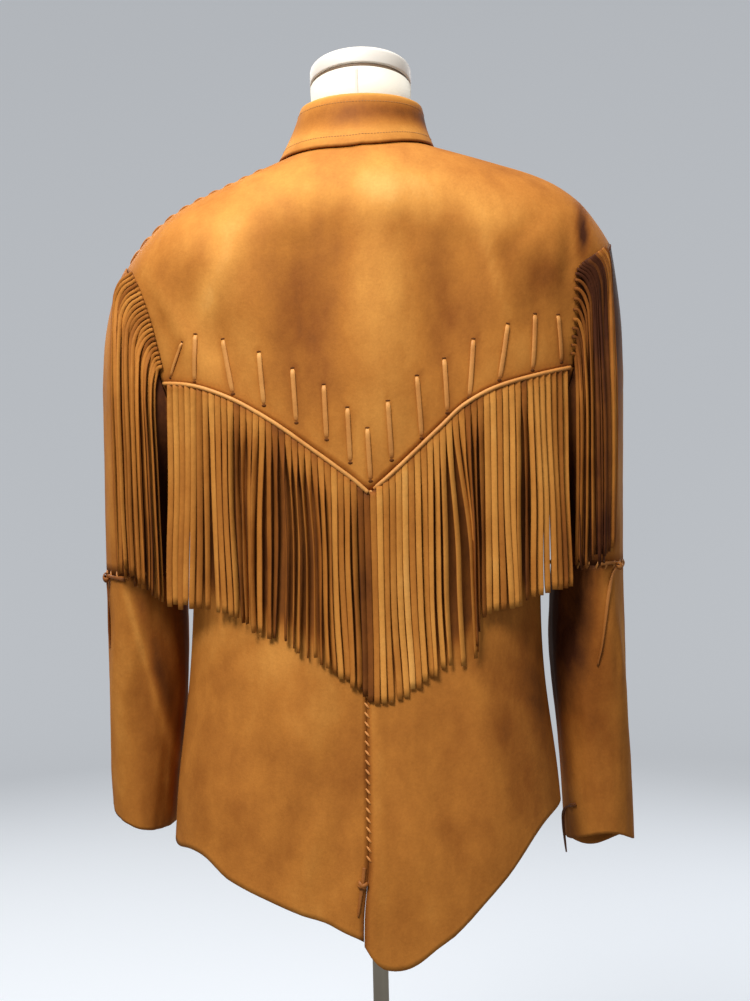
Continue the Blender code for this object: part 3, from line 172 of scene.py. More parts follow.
# Finer creases than the solids have
backCreases = (
    Fold(-0.138, 1.295, 0.012, 0.052, 0.35, 0.0022),
    Fold(0.120, 1.300, 0.008, 0.046, -0.23, 0.0016),
    Fold(-0.062, 1.250, 0.034, 0.070, 0.00, -0.0022),
    Fold(0.070, 1.252, 0.022, 0.060, 0.00, -0.0022),
    Fold(0.2105, 1.338, 0.0055, 0.026, 0.08, -0.0026),
    Fold(-0.020, 1.330, 0.014, 0.080, 0.10, -0.0012),
    Fold(0.045, 1.320, 0.013, 0.070, -0.12, -0.0011),
    Fold(-0.180, 1.250, 0.010, 0.045, -0.55, 0.0018),
    Fold(-0.195, 1.262, 0.007, 0.040, -0.50, -0.0016),
    Fold(0.205, 1.255, 0.008, 0.045, 0.35, 0.0018),
    Fold(0.178, 1.295, 0.008, 0.035, 0.25, 0.0014),
    Fold(0.150, 1.330, 0.012, 0.030, 0.80, -0.0014),
    Fold(-0.090, 1.365, 0.012, 0.040, -1.00, 0.0012),
    Fold(-0.150, 0.960, 0.012, 0.050, 1.20, 0.0016),
    Fold(-0.130, 0.935, 0.010, 0.050, 1.30, -0.0013),
    Fold(-0.055, 0.770, 0.012, 0.060, 0.35, 0.0016),
    Fold(-0.088, 0.760, 0.010, 0.050, 0.25, -0.0013),
    Fold(0.035, 0.740, 0.013, 0.070, -0.25, 0.0015),
    Fold(0.080, 0.740, 0.011, 0.060, -0.40, -0.0014),
    Fold(0.140, 0.930, 0.011, 0.050, -1.20, 0.0015),
    Fold(0.128, 0.900, 0.010, 0.045, -1.30, -0.0012),
    Fold(0.155, 0.840, 0.012, 0.060, -0.50, 0.0014),
)
frontCreases = (
    Fold(-0.045, 1.300, 0.012, 0.060, 0.55, 0.0014),
    Fold(0.050, 1.290, 0.012, 0.060, -0.55, 0.0014),
    Fold(-0.150, 1.180, 0.012, 0.050, 0.90, 0.0018),
    Fold(0.150, 1.185, 0.012, 0.050, -0.90, 0.0018),
    Fold(-0.135, 1.150, 0.010, 0.050, 0.95, -0.0014),
    Fold(0.138, 1.155, 0.010, 0.050, -0.95, -0.0014),
    Fold(-0.050, 0.980, 0.012, 0.060, 0.60, 0.0013),
    Fold(0.055, 0.970, 0.012, 0.060, -0.60, 0.0013),
    Fold(-0.055, 0.790, 0.013, 0.060, 0.20, -0.0014),
    Fold(0.060, 0.780, 0.013, 0.060, -0.20, -0.0014),
)
# Painted light and shade on the hide, painted highlights where positive and painted shade in hollows where
# negative, in the same columns as the folds
backLightAndShade = (
    Fold(-0.072, 1.377, 0.060, 0.026, 0.00, 0.41),
    Fold(0.030, 1.375, 0.050, 0.026, 0.00, 0.85),
    Fold(0.118, 1.358, 0.060, 0.026, 0.00, 0.36),
    Fold(-0.150, 1.345, 0.042, 0.022, 0.00, 0.28),
    Fold(-0.138, 1.295, 0.015, 0.052, 0.35, 0.30),
    Fold(0.014, 1.240, 0.026, 0.110, -0.05, 0.23),
    Fold(0.120, 1.300, 0.008, 0.046, -0.23, 0.25),
    Fold(-0.135, 1.225, 0.044, 0.022, 0.00, 0.23),
    Fold(-0.195, 1.245, 0.014, 0.040, 0.00, 0.14),
    Fold(0.157, 1.222, 0.040, 0.024, 0.00, 0.15),
    Fold(0.150, 1.345, 0.040, 0.020, 0.00, 0.21),
    Fold(-0.004, 1.120, 0.040, 0.040, 0.00, 0.14),
    Fold(-0.172, 1.300, 0.024, 0.019, 0.00, -0.17),
    Fold(-0.062, 1.250, 0.036, 0.074, 0.00, -0.27),
    Fold(-0.020, 1.325, 0.034, 0.042, 0.00, -0.08),
    Fold(0.070, 1.252, 0.022, 0.062, 0.00, -0.05),
    Fold(0.172, 1.292, 0.018, 0.022, 0.00, -0.38),
    Fold(0.2105, 1.338, 0.0060, 0.028, 0.08, -0.90),
    Fold(0.187, 1.222, 0.008, 0.018, 0.00, -0.23),
    Fold(0.137, 1.295, 0.010, 0.036, 0.00, -0.15),
    Fold(-0.104, 0.923, 0.028, 0.036, 0.30, 0.23),
    Fold(-0.048, 0.880, 0.030, 0.032, 0.30, 0.20),
    Fold(0.0005, 0.800, 0.0075, 0.100, -0.03, 0.28),
    Fold(-0.024, 0.855, 0.014, 0.055, 0.00, -0.10),
    Fold(0.123, 0.850, 0.016, 0.110, -0.06, -0.21),
    Fold(0.146, 0.945, 0.022, 0.055, 0.00, -0.20),
    Fold(0.158, 0.885, 0.014, 0.060, 0.00, -0.25),
    Fold(0.063, 0.705, 0.030, 0.030, 0.00, 0.12),
    Fold(-0.100, 0.800, 0.060, 0.050, 0.00, -0.06),
    Fold(-0.030, 0.820, 0.030, 0.050, 0.00, -0.16),
    Fold(0.060, 0.700, 0.060, 0.050, 0.00, -0.20),
    Fold(-0.160, 0.850, 0.014, 0.090, 0.05, -0.11),
)
frontLightAndShade = (
    Fold(-0.085, 1.360, 0.060, 0.030, 0.00, 0.55),
    Fold(0.090, 1.365, 0.060, 0.030, 0.00, 0.50),
    Fold(-0.090, 1.250, 0.030, 0.070, 0.30, -0.40),
    Fold(0.095, 1.240, 0.030, 0.070, -0.30, -0.42),
    Fold(-0.055, 1.120, 0.024, 0.110, 0.10, 0.30),
    Fold(0.060, 1.110, 0.024, 0.110, -0.12, 0.30),
    Fold(-0.100, 0.900, 0.018, 0.120, 0.00, -0.35),
    Fold(0.110, 0.890, 0.018, 0.120, 0.00, -0.35),
    Fold(-0.060, 0.800, 0.026, 0.080, 0.00, 0.22),
    Fold(0.055, 0.790, 0.026, 0.080, 0.00, 0.22),
)
Crease = namedtuple("Crease", "angle z halfAngle halfZ slope depth")
sleeveFolds = (
    Crease(0.95, 0.900, 0.30, 0.100, 2.2, 0.0035),
    Crease(1.65, 0.880, 0.34, 0.110, 1.6, -0.0045),
    Crease(2.60, 0.860, 0.35, 0.090, 0.0, 0.0030),
    Crease(4.40, 0.900, 0.35, 0.100, -1.5, -0.0040),
    Crease(5.20, 0.870, 0.35, 0.100, 0.0, 0.0030),
    Crease(1.20, 1.100, 0.35, 0.060, 2.0, 0.0030),
    Crease(4.80, 1.110, 0.35, 0.070, -2.0, -0.0035),
)
sleeveCreases = (
    Crease(1.30, 0.945, 0.13, 0.050, 6.0, 0.0014),
    Crease(1.95, 0.950, 0.12, 0.045, -5.0, -0.0013),
    Crease(0.60, 0.850, 0.14, 0.060, 2.5, -0.0012),
    Crease(2.30, 0.790, 0.15, 0.045, -2.0, 0.0013),
    Crease(4.00, 0.970, 0.13, 0.045, 6.0, 0.0015),
    Crease(5.60, 0.960, 0.13, 0.050, -6.0, 0.0014),
    Crease(3.30, 0.880, 0.14, 0.060, 1.5, -0.0012),
    Crease(5.00, 0.800, 0.16, 0.050, 2.0, -0.0013),
    Crease(1.60, 1.045, 0.14, 0.030, 7.0, -0.0012),
    Crease(4.50, 1.050, 0.14, 0.035, -7.0, 0.0014),
)

fitted = {}


def read(rows, at, column):
    # Value of a table's column between its rows, on a smooth cubic
    key = (id(rows), column)
    if key not in fitted:
        knots = [row[0] for row in rows]
        values = [getattr(row, column) for row in rows]
        last = len(knots) - 1
        slopes = []
        for k in range(last + 1):
            low, high = max(k - 1, 0), min(k + 1, last)
            slopes.append((values[high] - values[low]) / (knots[high] - knots[low]))
        fitted[key] = (knots, values, slopes)
    knots, values, slopes = fitted[key]
    at = min(max(at, knots[0]), knots[-1])
    i = min(max(bisect_right(knots, at) - 1, 0), len(knots) - 2)
    span = knots[i + 1] - knots[i]
    t = (at - knots[i]) / span
    ends = values[i] * (1 + 2 * t) * (1 - t) ** 2 + values[i + 1] * t * t * (3 - 2 * t)
    return ends + span * (slopes[i] * t * (1 - t) ** 2 - slopes[i + 1] * t * t * (1 - t))


def ease(low, high, at):
    t = min(max((at - low) / (high - low), 0.0), 1.0)
    return t * t * (3 - 2 * t)


def ridgeZ(x):
    return read(shoulderLine[-1 if x < 0 else 1], abs(x), "z")


def foldDepth(folds, x, z):
    total = 0.0
    for fold in folds:
        along = z - fold.z
        across = x - fold.x - fold.turn * along
        near = (across / fold.halfX) ** 2 + (along / fold.halfZ) ** 2
        if near < 9:
            total += fold.depth * math.exp(-near)
    return total


def ripple(x, y, z, seed):
    # Low uneven waves that hide has even where it hangs smooth
    wide = noise.noise(Vector((x * 19 + seed, y * 19, z * 13)))
    small = noise.noise(Vector((x * 70 + seed, y * 70, z * 52)))
    return 0.0011 * wide + 0.00028 * small


def bodyY(x, z, back, fine=False):
    ring = read(bodyRings, z, "halfWidth")
    full = read(bodyRings, z, "back" if back else "front")
    aside = min(abs(x - read(bodyRings, z, "lean")) / ring, 1.0)
    depth = full * (1 - aside ** rounding["ring"]) ** (1 / rounding["ring"])
    fade = ease(0.0, 0.5, 1 - aside)
    depth += fade * foldDepth(backFolds if back else frontFolds, x, z)
    if fine:
        depth += ease(0.0, 0.3, 1 - aside) * foldDepth(backCreases if back else frontCreases, x, z)
        depth += ease(0.0, 0.12, 1 - aside) * ripple(x, 1.0 if back else -1.0, z, 3.0)
    power = rounding["close"]
    below = (ridgeZ(x) - z) / rounding["backClose" if back else "frontClose"]
    closing = (1 - (1 - min(max(below, 0.0), 1.0)) ** power) ** (1 / power)
    seamY = neckline["seamY"] * ease(leather["underarm"], neckline["tip"], z)
    return seamY - (depth + seamY) * closing if back else seamY + (depth - seamY) * closing


def sideAngle(z):
    q = min(max((z - leather["underarm"]) / rounding["armCurve"], 0.0), 1.0)
    return math.pi / 2 - rounding["armAngle"] * math.sqrt(q * (2 - q))


def bodyX(share, z):
    bent = abs(math.sin(abs(share) * sideAngle(z))) ** (2 / rounding["ring"])
    return read(bodyRings, z, "lean") + math.copysign(read(bodyRings, z, "halfWidth") * bent, share)


def shareAt(x, z):
    out = x - read(bodyRings, z, "lean")
    bent = min(abs(out) / read(bodyRings, z, "halfWidth"), 1.0) ** (rounding["ring"] / 2)
    return math.copysign(math.asin(bent) / sideAngle(z), out)


def neckY(x, back):
    rest = math.sqrt(max(1 - (x / neckline["halfWidth"]) ** 2, 0.0))
    return neckline["seamY"] + (-neckline["back"] if back else neckline["front"]) * rest


def halved(low, high, isAbove):
    # The height between low and high where isAbove turns from false to true
    for _ in range(28):
        mid = (low + high) / 2
        low, high = (low, mid) if isAbove(mid) else (mid, high)
    return (low + high) / 2


def topZ(x, back):
    ridge = ridgeZ(x)
    if abs(x) >= neckline["halfWidth"]:
        return ridge
    rim = neckY(x, back)
    return halved(ridge - 0.11, ridge, lambda z: bodyY(x, z, back) > rim if back else bodyY(x, z, back) < rim)


def settle(share, heightOf):
    z = heightOf(bodyX(share, 1.2))
    for _ in range(8):
        z = heightOf(bodyX(share, z))
    return z


def surfaceZ(x, y):
    back = y < neckline["seamY"]
    return halved(1.20, ridgeZ(x), lambda z: bodyY(x, z, back) > y if back else bodyY(x, z, back) < y)


def bodyNormal(x, z, back):
    step = 0.002
    if ridgeZ(x) - z < 2 * step:
        slope = (ridgeZ(x + step) - ridgeZ(x - step)) / (2 * step)
        y = bodyY(x, z, back) - neckline["seamY"]
        depth = abs(bodyY(x, z - 0.080, back) - neckline["seamY"])
        close = rounding["backClose" if back else "frontClose"]
        tilt = close * (abs(y) / depth) ** (rounding["close"] - 1) / depth
        return Vector((-slope, math.copysign(tilt, y), 1)).normalized()
    alongX = Vector((2 * step, bodyY(x + step, z, back) - bodyY(x - step, z, back), 0))
    alongZ = Vector((0, bodyY(x, z + step, back) - bodyY(x, z - step, back), 2 * step))
    normal = alongX.cross(alongZ) if back else alongZ.cross(alongX)
    return normal.normalized()


def bodyPoint(x, z, back, out=0.0):
    return Vector((x, bodyY(x, z, back), z)) + out * bodyNormal(x, z, back)


# Fringe: lengths across the back, and how its strands hang in groups

FringeLine = namedtuple("FringeLine", "x long drift")
fringeLengths = (
    FringeLine(-0.200, 0.2060, -0.0090),
    FringeLine(-0.168, 0.2020, -0.0060),
    FringeLine(-0.119, 0.1980, -0.0020),
    FringeLine(-0.079, 0.1900, 0.0),
    FringeLine(-0.040, 0.1890, 0.0),
    FringeLine(0.000, 0.1885, 0.0),
    FringeLine(0.020, 0.2000, 0.0),
    FringeLine(0.065, 0.2160, 0.0),
    FringeLine(0.088, 0.2205, 0.0),
    FringeLine(0.107, 0.1990, 0.0010),
    FringeLine(0.137, 0.2015, 0.0020),
    FringeLine(0.164, 0.2000, 0.0025),
    FringeLine(0.191, 0.1965, 0.0030),
    FringeLine(0.200, 0.1860, 0.0030),
)
# open is 0 where strands lie flat side by side, and 1 where they turn edge on
# light is painted light and shade for each group's strands: lit where positive, shaded where negative
Cluster = namedtuple("Cluster", "x open light swing")
fringeClusters = (
    Cluster(-0.192, 0.05, 0.05, 0.000),
    Cluster(-0.175, 0.05, 0.25, 0.000),
    Cluster(-0.160, 0.05, 0.22, 0.000),
    Cluster(-0.148, 0.50, 0.00, 0.001),
    Cluster(-0.136, 0.30, 0.05, 0.001),
    Cluster(-0.124, 0.65, -0.10, 0.000),
    Cluster(-0.112, 0.95, -0.22, -0.003),
    Cluster(-0.100, 0.40, 0.05, -0.006),
    Cluster(-0.092, 0.65, -0.05, -0.003),
    Cluster(-0.080, 0.95, -0.26, 0.000),
    Cluster(-0.066, 1.00, -0.16, 0.002),
    Cluster(-0.050, 1.00, -0.16, 0.002),
    Cluster(-0.040, 0.60, -0.15, 0.000),
    Cluster(-0.031, 0.15, 0.15, 0.000),
    Cluster(-0.022, 0.40, 0.02, 0.000),
    Cluster(-0.013, 0.45, -0.22, 0.000),
    Cluster(-0.004, 0.10, -0.38, 0.000),
    Cluster(0.002, 0.05, 0.32, 0.000),
    Cluster(0.020, 0.00, 0.38, 0.000),
    Cluster(0.036, 0.05, 0.32, 0.000),
    Cluster(0.050, 0.30, 0.16, 0.000),
    Cluster(0.060, 0.40, 0.12, 0.000),
    Cluster(0.072, 0.45, 0.10, 0.004),
    Cluster(0.080, 0.60, 0.05, 0.013),
    Cluster(0.088, 0.95, -0.15, 0.006),
    Cluster(0.100, 0.95, -0.26, 0.000),
    Cluster(0.110, 0.10, 0.20, 0.000),
    Cluster(0.125, 0.05, 0.22, -0.001),
    Cluster(0.138, 0.30, 0.14, 0.000),
    Cluster(0.147, 0.90, -0.18, 0.000),
    Cluster(0.156, 0.15, 0.08, 0.001),
    Cluster(0.172, 0.05, 0.10, 0.001),
    Cluster(0.184, 0.05, -0.08, 0.000),
    Cluster(0.192, 0.05, -0.15, 0.000),
)
yokeFringe = {
    "half": 0.1920, "strands": 32, "thick": 0.0013, "stations": 30, "strip": 0.0100,
    "flat": 0.98, "turn": 1.20, "layer": 0.0028, "clear": 0.0011, "stray": 0.0060,
}
# Roots of each armhole's fringe on the yoke, from the shoulder down, and where the strands fall
ArmRoot = namedtuple("ArmRoot", "part x z fall long")
armRoots = {
    -1: (
        ArmRoot(0.00, 0.2310, 1.3090, 0.2475, 0.290),
        ArmRoot(0.20, 0.2210, 1.2895, 0.2400, 0.275),
        ArmRoot(0.40, 0.2136, 1.2695, 0.2310, 0.262),
        ArmRoot(0.60, 0.2080, 1.2500, 0.2225, 0.250),
        ArmRoot(0.80, 0.2033, 1.2300, 0.2140, 0.238),
        ArmRoot(1.00, 0.1988, 1.2105, 0.2055, 0.226),
    ),
    1: (
        ArmRoot(0.00, 0.2355, 1.3195, 0.2395, 0.285),
        ArmRoot(0.25, 0.2215, 1.3090, 0.2310, 0.285),
        ArmRoot(0.50, 0.2065, 1.2975, 0.2220, 0.280),
        ArmRoot(0.62, 0.2030, 1.2850, 0.2165, 0.268),
        ArmRoot(0.80, 0.2010, 1.2480, 0.2090, 0.236),
        ArmRoot(1.00, 0.1985, 1.2125, 0.2020, 0.200),
    ),
}
armFringe = {"strands": 22, "thick": 0.0013, "stations": 34, "layer": 0.0028, "wide": {-1: 0.0040, 1: 0.0036}}

# Laces across the back, from their top holes to their lower ones
Stitch = namedtuple("Stitch", "topX topZ footX footZ")
stitches = (
    Stitch(-0.1615, 1.2410, -0.1635, 1.1970),
    Stitch(-0.1350, 1.2350, -0.1265, 1.1840),
    Stitch(-0.1005, 1.2210, -0.0970, 1.1720),
    Stitch(-0.0695, 1.2050, -0.0670, 1.1550),
    Stitch(-0.0405, 1.1890, -0.0390, 1.1385),
    Stitch(-0.0190, 1.1670, -0.0175, 1.1165),
    Stitch(-0.0010, 1.1475, 0.0010, 1.0990),
    Stitch(0.0185, 1.1720, 0.0210, 1.1180),
    Stitch(0.0460, 1.1950, 0.0495, 1.1380),
    Stitch(0.0720, 1.2110, 0.0740, 1.1610),
    Stitch(0.1000, 1.2290, 0.0950, 1.1750),
    Stitch(0.1330, 1.2430, 0.1240, 1.1910),
    Stitch(0.1600, 1.2530, 0.1565, 1.2005),
    Stitch(0.1830, 1.2530, 0.1860, 1.2090),
)
sideLace = Stitch(-0.1750, 1.2345, -0.1885, 1.2030)
laceCut = {"wide": 0.0044, "sideWide": 0.0030, "thick": 0.0013, "parts": 16, "hole": 0.0015, "holeSides": 14}


def yokeLine(x):
    return read(yokeEdge[-1 if x < 0 else 1], abs(x), "z")


def underFringe(x, z):
    # How far a spot of the back lies in the fringe's shade
    if abs(x) > yokeFringe["half"] + 0.006 or z > yokeLine(x):
        return 0.0
    end = yokeLine(x) - read(fringeLengths, x, "long") - yokeFringe["strip"]
    return ease(end + 0.004, end + 0.030, z)


def underArmFringe(point):
    # How far a spot of a sleeve lies in the shade of its armhole fringe, for painted shade
    side = -1 if point.x < 0 else 1
    if point.y > 0.02:
        return 0.0
    out = abs(point.x)
    inner, outer = (0.196, 0.250) if side < 0 else (0.198, 0.240)
    across = ease(inner - 0.004, inner, out) * ease(outer + 0.004, outer - 0.004, out)
    end = 1.018 if side < 0 else 1.028
    across *= ease(0.010, -0.025, point.y)
    return across * ease(end - 0.012, end + 0.015, point.z) * ease(1.325, 1.290, point.z)


# Materials


def newMaterial(name):
    made = bpy.data.materials.new(name)
    made.use_nodes = True
    tree = made.node_tree
    return made, tree, tree.nodes["Principled BSDF"]


def addNode(tree, kind, inputs=(), **settings):
    node = tree.nodes.new(kind)
    for key, value in settings.items():
        setattr(node, key, value)
    for socket, value in inputs:
        if isinstance(value, bpy.types.NodeSocket):
            tree.links.new(value, node.inputs[socket])
        else:
            node.inputs[socket].default_value = value
    return node


def addNoise(tree, place, scale, detail=3.0, rough=0.5, stretch=(1, 1, 1)):
    mapped = addNode(tree, "ShaderNodeMapping", [("Vector", place), ("Scale", stretch)])
    settings = [("Vector", mapped.outputs[0]), ("Scale", scale), ("Detail", detail), ("Roughness", rough)]
    return addNode(tree, "ShaderNodeTexNoise", settings).outputs["Fac"]


def addRamp(tree, factor, stops):
    ramp = addNode(tree, "ShaderNodeValToRGB", [("Fac", factor)])
    band = ramp.color_ramp
    band.elements[0].position, band.elements[0].color = stops[0]
    band.elements[1].position, band.elements[1].color = stops[-1]
    for at, colour in stops[1:-1]:
        band.elements.new(at).color = colour
    return ramp.outputs["Color"]


def addBump(tree, shader, height, strength, distance):
    inputs = [("Height", height), ("Strength", strength), ("Distance", distance)]
    bump = addNode(tree, "ShaderNodeBump", inputs)
    tree.links.new(bump.outputs[0], shader.inputs["Normal"])


def addMaths(tree, operation, first, second):
    return addNode(tree, "ShaderNodeMath", [(0, first), (1, second)], operation=operation).outputs[0]


def grey(value):
    return (value, value, value, 1.0)


def buckskinMaterial(name, look):
    made, tree, shader = newMaterial(name)
    place = addNode(tree, "ShaderNodeTexCoord").outputs["Object"]
    patches = addNoise(tree, place, 5.0, 3.0)
    mottle = addNoise(tree, place, 34.0, 5.0, 0.6, (1, 1, 0.6))
    speckle = addNoise(tree, place, 380.0, 3.0, 0.6)
    byPatch = addMaths(tree, "MULTIPLY", patches, 0.42)
    blend = addMaths(tree, "ADD", byPatch, addMaths(tree, "MULTIPLY", mottle, 0.36))
    # The point attribute "tone" carries painted light and shade: positive for painted highlights, negative for
    # painted shade in folds, seams, hollows and under the fringe
    tone = addNode(tree, "ShaderNodeAttribute", attribute_name="tone").outputs["Fac"]
    blend = addMaths(tree, "ADD", blend, addMaths(tree, "MULTIPLY", tone, 0.40))
    blend = addMaths(tree, "ADD", blend, 0.11)
    stops = [
        (0.06, look["deepest"]), (0.30, look["deep"]), (0.50, look["base"]), (0.70, look["light"]),
        (0.95, look["lightest"]),
    ]
    colour = addRamp(tree, blend, stops)
    flecks = addRamp(tree, speckle, [(0.30, grey(0.93)), (0.66, grey(1.03))])
    # The painted light and shade, multiplied by the leather's own flecks
    flecksAndShade = addNode(
        tree, "ShaderNodeMix", [(0, 1.0), (6, colour), (7, flecks)], data_type="RGBA", blend_type="MULTIPLY"
    ).outputs[2]
    tree.links.new(flecksAndShade, shader.inputs["Base Color"])
    rough = addRamp(tree, mottle, [(0.3, grey(look["rough"] - 0.07)), (0.7, grey(look["rough"] + 0.07))])
    tree.links.new(rough, shader.inputs["Roughness"])
    shader.inputs["Specular IOR Level"].default_value = look["specular"]
    nap = addNoise(tree, place, 900.0, 4.0, 0.65, (1, 1, 0.45))
    pores = addNode(
        tree, "ShaderNodeTexVoronoi", [("Vector", place), ("Scale", 620.0)], feature="SMOOTH_F1"
    ).outputs["Distance"]
    soft = addNoise(tree, place, 130.0, 4.0, 0.55)
    byNap = addMaths(tree, "MULTIPLY", nap, 0.5)
    height = addMaths(tree, "ADD", byNap, addMaths(tree, "MULTIPLY", pores, 0.25))
    height = addMaths(tree, "ADD", height, addMaths(tree, "MULTIPLY", soft, 1.3))
    addBump(tree, shader, height, look["bump"], 0.0007)
    return made


plainLook = {"stretch": (1, 1, 1), "metal": 0.0, "specular": 0.5}


def plainMaterial(name, look):
    # A finish with a fine grain: weave, brushing or moulding, by its scale and stretch
    look = dict(plainLook, **look)
    made, tree, shader = newMaterial(name)
    place = addNode(tree, "ShaderNodeTexCoord").outputs["Object"]
    broad = addNoise(tree, place, look["broad"], 4.0)
    fine = addNoise(tree, place, look["fine"], 3.0, 0.6, look["stretch"])
    colour = addRamp(tree, broad, [(0.3, look["dark"]), (0.7, look["light"])])
    tree.links.new(colour, shader.inputs["Base Color"])
    rough = addRamp(tree, fine, [(0.3, grey(look["rough"] - 0.06)), (0.7, grey(look["rough"] + 0.06))])
    tree.links.new(rough, shader.inputs["Roughness"])
    shader.inputs["Metallic"].default_value = look["metal"]
    shader.inputs["Specular IOR Level"].default_value = look["specular"]
    addBump(tree, shader, fine, look["bump"], 0.0004)
    return made


def canvasMaterial(name, look):
    made, tree, shader = newMaterial(name)
    place = addNode(tree, "ShaderNodeTexCoord").outputs["Object"]
    stains = addNoise(tree, place, 16.0, 4.0)
    colour = addRamp(tree, stains, [(0.3, look["dark"]), (0.7, look["light"])])
    tree.links.new(colour, shader.inputs["Base Color"])
    threads = []
    for turn in ("X", "Z"):
        band = addNode(
            tree, "ShaderNodeTexWave",
            [("Vector", place), ("Scale", look["weave"]), ("Distortion", 0.6), ("Detail", 1.0)],
            bands_direction=turn,
        )
        threads.append(band.outputs["Fac"])
    weave = addMaths(tree, "MULTIPLY", threads[0], threads[1])
    addBump(tree, shader, weave, 0.5, 0.0003)
    shader.inputs["Roughness"].default_value = 0.88
    shader.inputs["Sheen Weight"].default_value = 0.15
    return made


tan = {
    "deepest": (0.060, 0.016, 0.005, 1.0), "deep": (0.270, 0.085, 0.013, 1.0),
    "base": (0.450, 0.168, 0.028, 1.0), "light": (0.630, 0.275, 0.055, 1.0), "lightest": (0.820, 0.440, 0.125, 1.0),
    "rough": 0.72, "specular": 0.12, "bump": 0.34,
}
fringeTan = dict(tan, rough=0.68, bump=0.40)
laceTan = dict(
    tan, base=(0.500, 0.190, 0.038, 1.0), light=(0.700, 0.330, 0.085, 1.0),
    rough=0.55, specular=0.35, bump=0.25,
)
skin = buckskinMaterial("buckskin", tan)
strandSkin = buckskinMaterial("buckskin fringe", fringeTan)
laceSkin = buckskinMaterial("buckskin lace", laceTan)
# Dark discs at the lace slits are painted shade
holeShade = plainMaterial("lace hole", {
    "broad": 60.0, "fine": 500.0, "dark": (0.090, 0.030, 0.009, 1.0),
    "light": (0.140, 0.048, 0.014, 1.0), "rough": 0.9, "bump": 0.2, "specular": 0.05,
})
threadTan = plainMaterial("thread", {
    "broad": 80.0, "fine": 1500.0, "dark": (0.250, 0.105, 0.028, 1.0),
    "light": (0.360, 0.165, 0.050, 1.0), "rough": 0.6, "bump": 0.4,
})
canvas = canvasMaterial("canvas", {
    "dark": (0.700, 0.650, 0.540, 1.0), "light": (0.790, 0.745, 0.640, 1.0), "weave": 260.0,
})
capWhite = plainMaterial("cap white", {
    "broad": 14.0, "fine": 320.0, "dark": (0.740, 0.700, 0.630, 1.0),
    "light": (0.820, 0.790, 0.730, 1.0), "rough": 0.48, "bump": 0.12,
})
ringBrown = plainMaterial("ring brown", {
    "broad": 30.0, "fine": 400.0, "dark": (0.120, 0.070, 0.038, 1.0),
    "light": (0.190, 0.120, 0.070, 1.0), "rough": 0.6, "bump": 0.2,
})
satinSteel = plainMaterial("satin steel", {
    "broad": 9.0, "fine": 700.0, "stretch": (1, 1, 0.03), "dark": (0.460, 0.415, 0.340, 1.0),
    "light": (0.680, 0.620, 0.520, 1.0), "rough": 0.34, "metal": 1.0, "bump": 0.15,
})
horn = plainMaterial("horn", {
    "broad": 55.0, "fine": 260.0, "stretch": (1, 1, 0.2), "dark": (0.045, 0.022, 0.010, 1.0),
    "light": (0.200, 0.105, 0.045, 1.0), "rough": 0.32, "bump": 0.10,
})
print("materials made")

# Mesh helpers


def addGrid(mesh, columns, rows, placeOf, around=False):
    # A sheet whose points placeOf(column, row) puts
    wide, high = len(columns) - 1, len(rows) - 1
    made = bmesh.ops.create_grid(mesh, x_segments=wide, y_segments=high, size=1.0)["verts"]
    for vert in made:
        i = round((vert.co.x + 1) / 2 * wide)
        j = round((vert.co.y + 1) / 2 * high)
        vert.co = placeOf(columns[i], rows[j])
    if around:
        bmesh.ops.remove_doubles(mesh, verts=made, dist=1e-6)


def addTube(mesh, loops, tones=None):
    # A closed tube through loops of points, with a tone for each if given
    wide, high = len(loops[0]), len(loops) - 1
    layer = mesh.verts.layers.float.get("tone") or (mesh.verts.layers.float.new("tone") if tones else None)
    made = bmesh.ops.create_grid(mesh, x_segments=wide, y_segments=high, size=1.0)["verts"]
    for vert in made:
        i = round((vert.co.x + 1) / 2 * wide) % wide
        j = round((vert.co.y + 1) / 2 * high)
        vert.co = loops[j][i]
        if tones:
            vert[layer] = tones[j][i]
    bmesh.ops.remove_doubles(mesh, verts=made, dist=1e-7)
    rim = {edge for vert in made if vert.is_valid for edge in vert.link_edges if edge.is_boundary}
    bmesh.ops.holes_fill(mesh, edges=list(rim), sides=0)


def faceAway(mesh, middleOf):
    bmesh.ops.recalc_face_normals(mesh, faces=mesh.faces)
    mesh.normal_update()
    away = 0.0
    for face in mesh.faces:
        middle = face.calc_center_median()
        away += face.normal.dot(middle - middleOf(middle)) * face.calc_area()
    if away < 0:
        bmesh.ops.reverse_faces(mesh, faces=mesh.faces)
    mesh.normal_update()


def newObject(name, data):
    made = bpy.data.objects.new(name, data)
    bpy.context.scene.collection.objects.link(made)
    return made


def finishPiece(name, mesh, look, nodes, toneOf=None, thick=0.0, offset=1.0):
    data = bpy.data.meshes.new(name)
    mesh.to_mesh(data)
    mesh.free()
    data.materials.append(look)
    data.shade_smooth()
    if toneOf is not None:
        tones = data.attributes.new("tone", "FLOAT", "POINT")
        for k, vert in enumerate(data.vertices):
            tones.data[k].value = min(max(toneOf(vert.co), -1.1), 1.0)
    piece = newObject(name, data)
    if thick:
        wall = piece.modifiers.new("Wall", "SOLIDIFY")
        wall.thickness = thick
        wall.offset = offset
        wall.use_even_offset = False
    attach(piece, "root")
    if nodes:
        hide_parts(*nodes)
    return piece


def finishSolid(name, mesh, look, nodes, toneOf=None):
    # A closed piece, its faces turned outwards
    bmesh.ops.recalc_face_normals(mesh, faces=mesh.faces)
    return finishPiece(name, mesh, look, nodes, toneOf)


def finishTube(name, loops, look, nodes, toneOf=None):
    mesh = bmesh.new()
    addTube(mesh, loops)
    return finishSolid(name, mesh, look, nodes, toneOf)


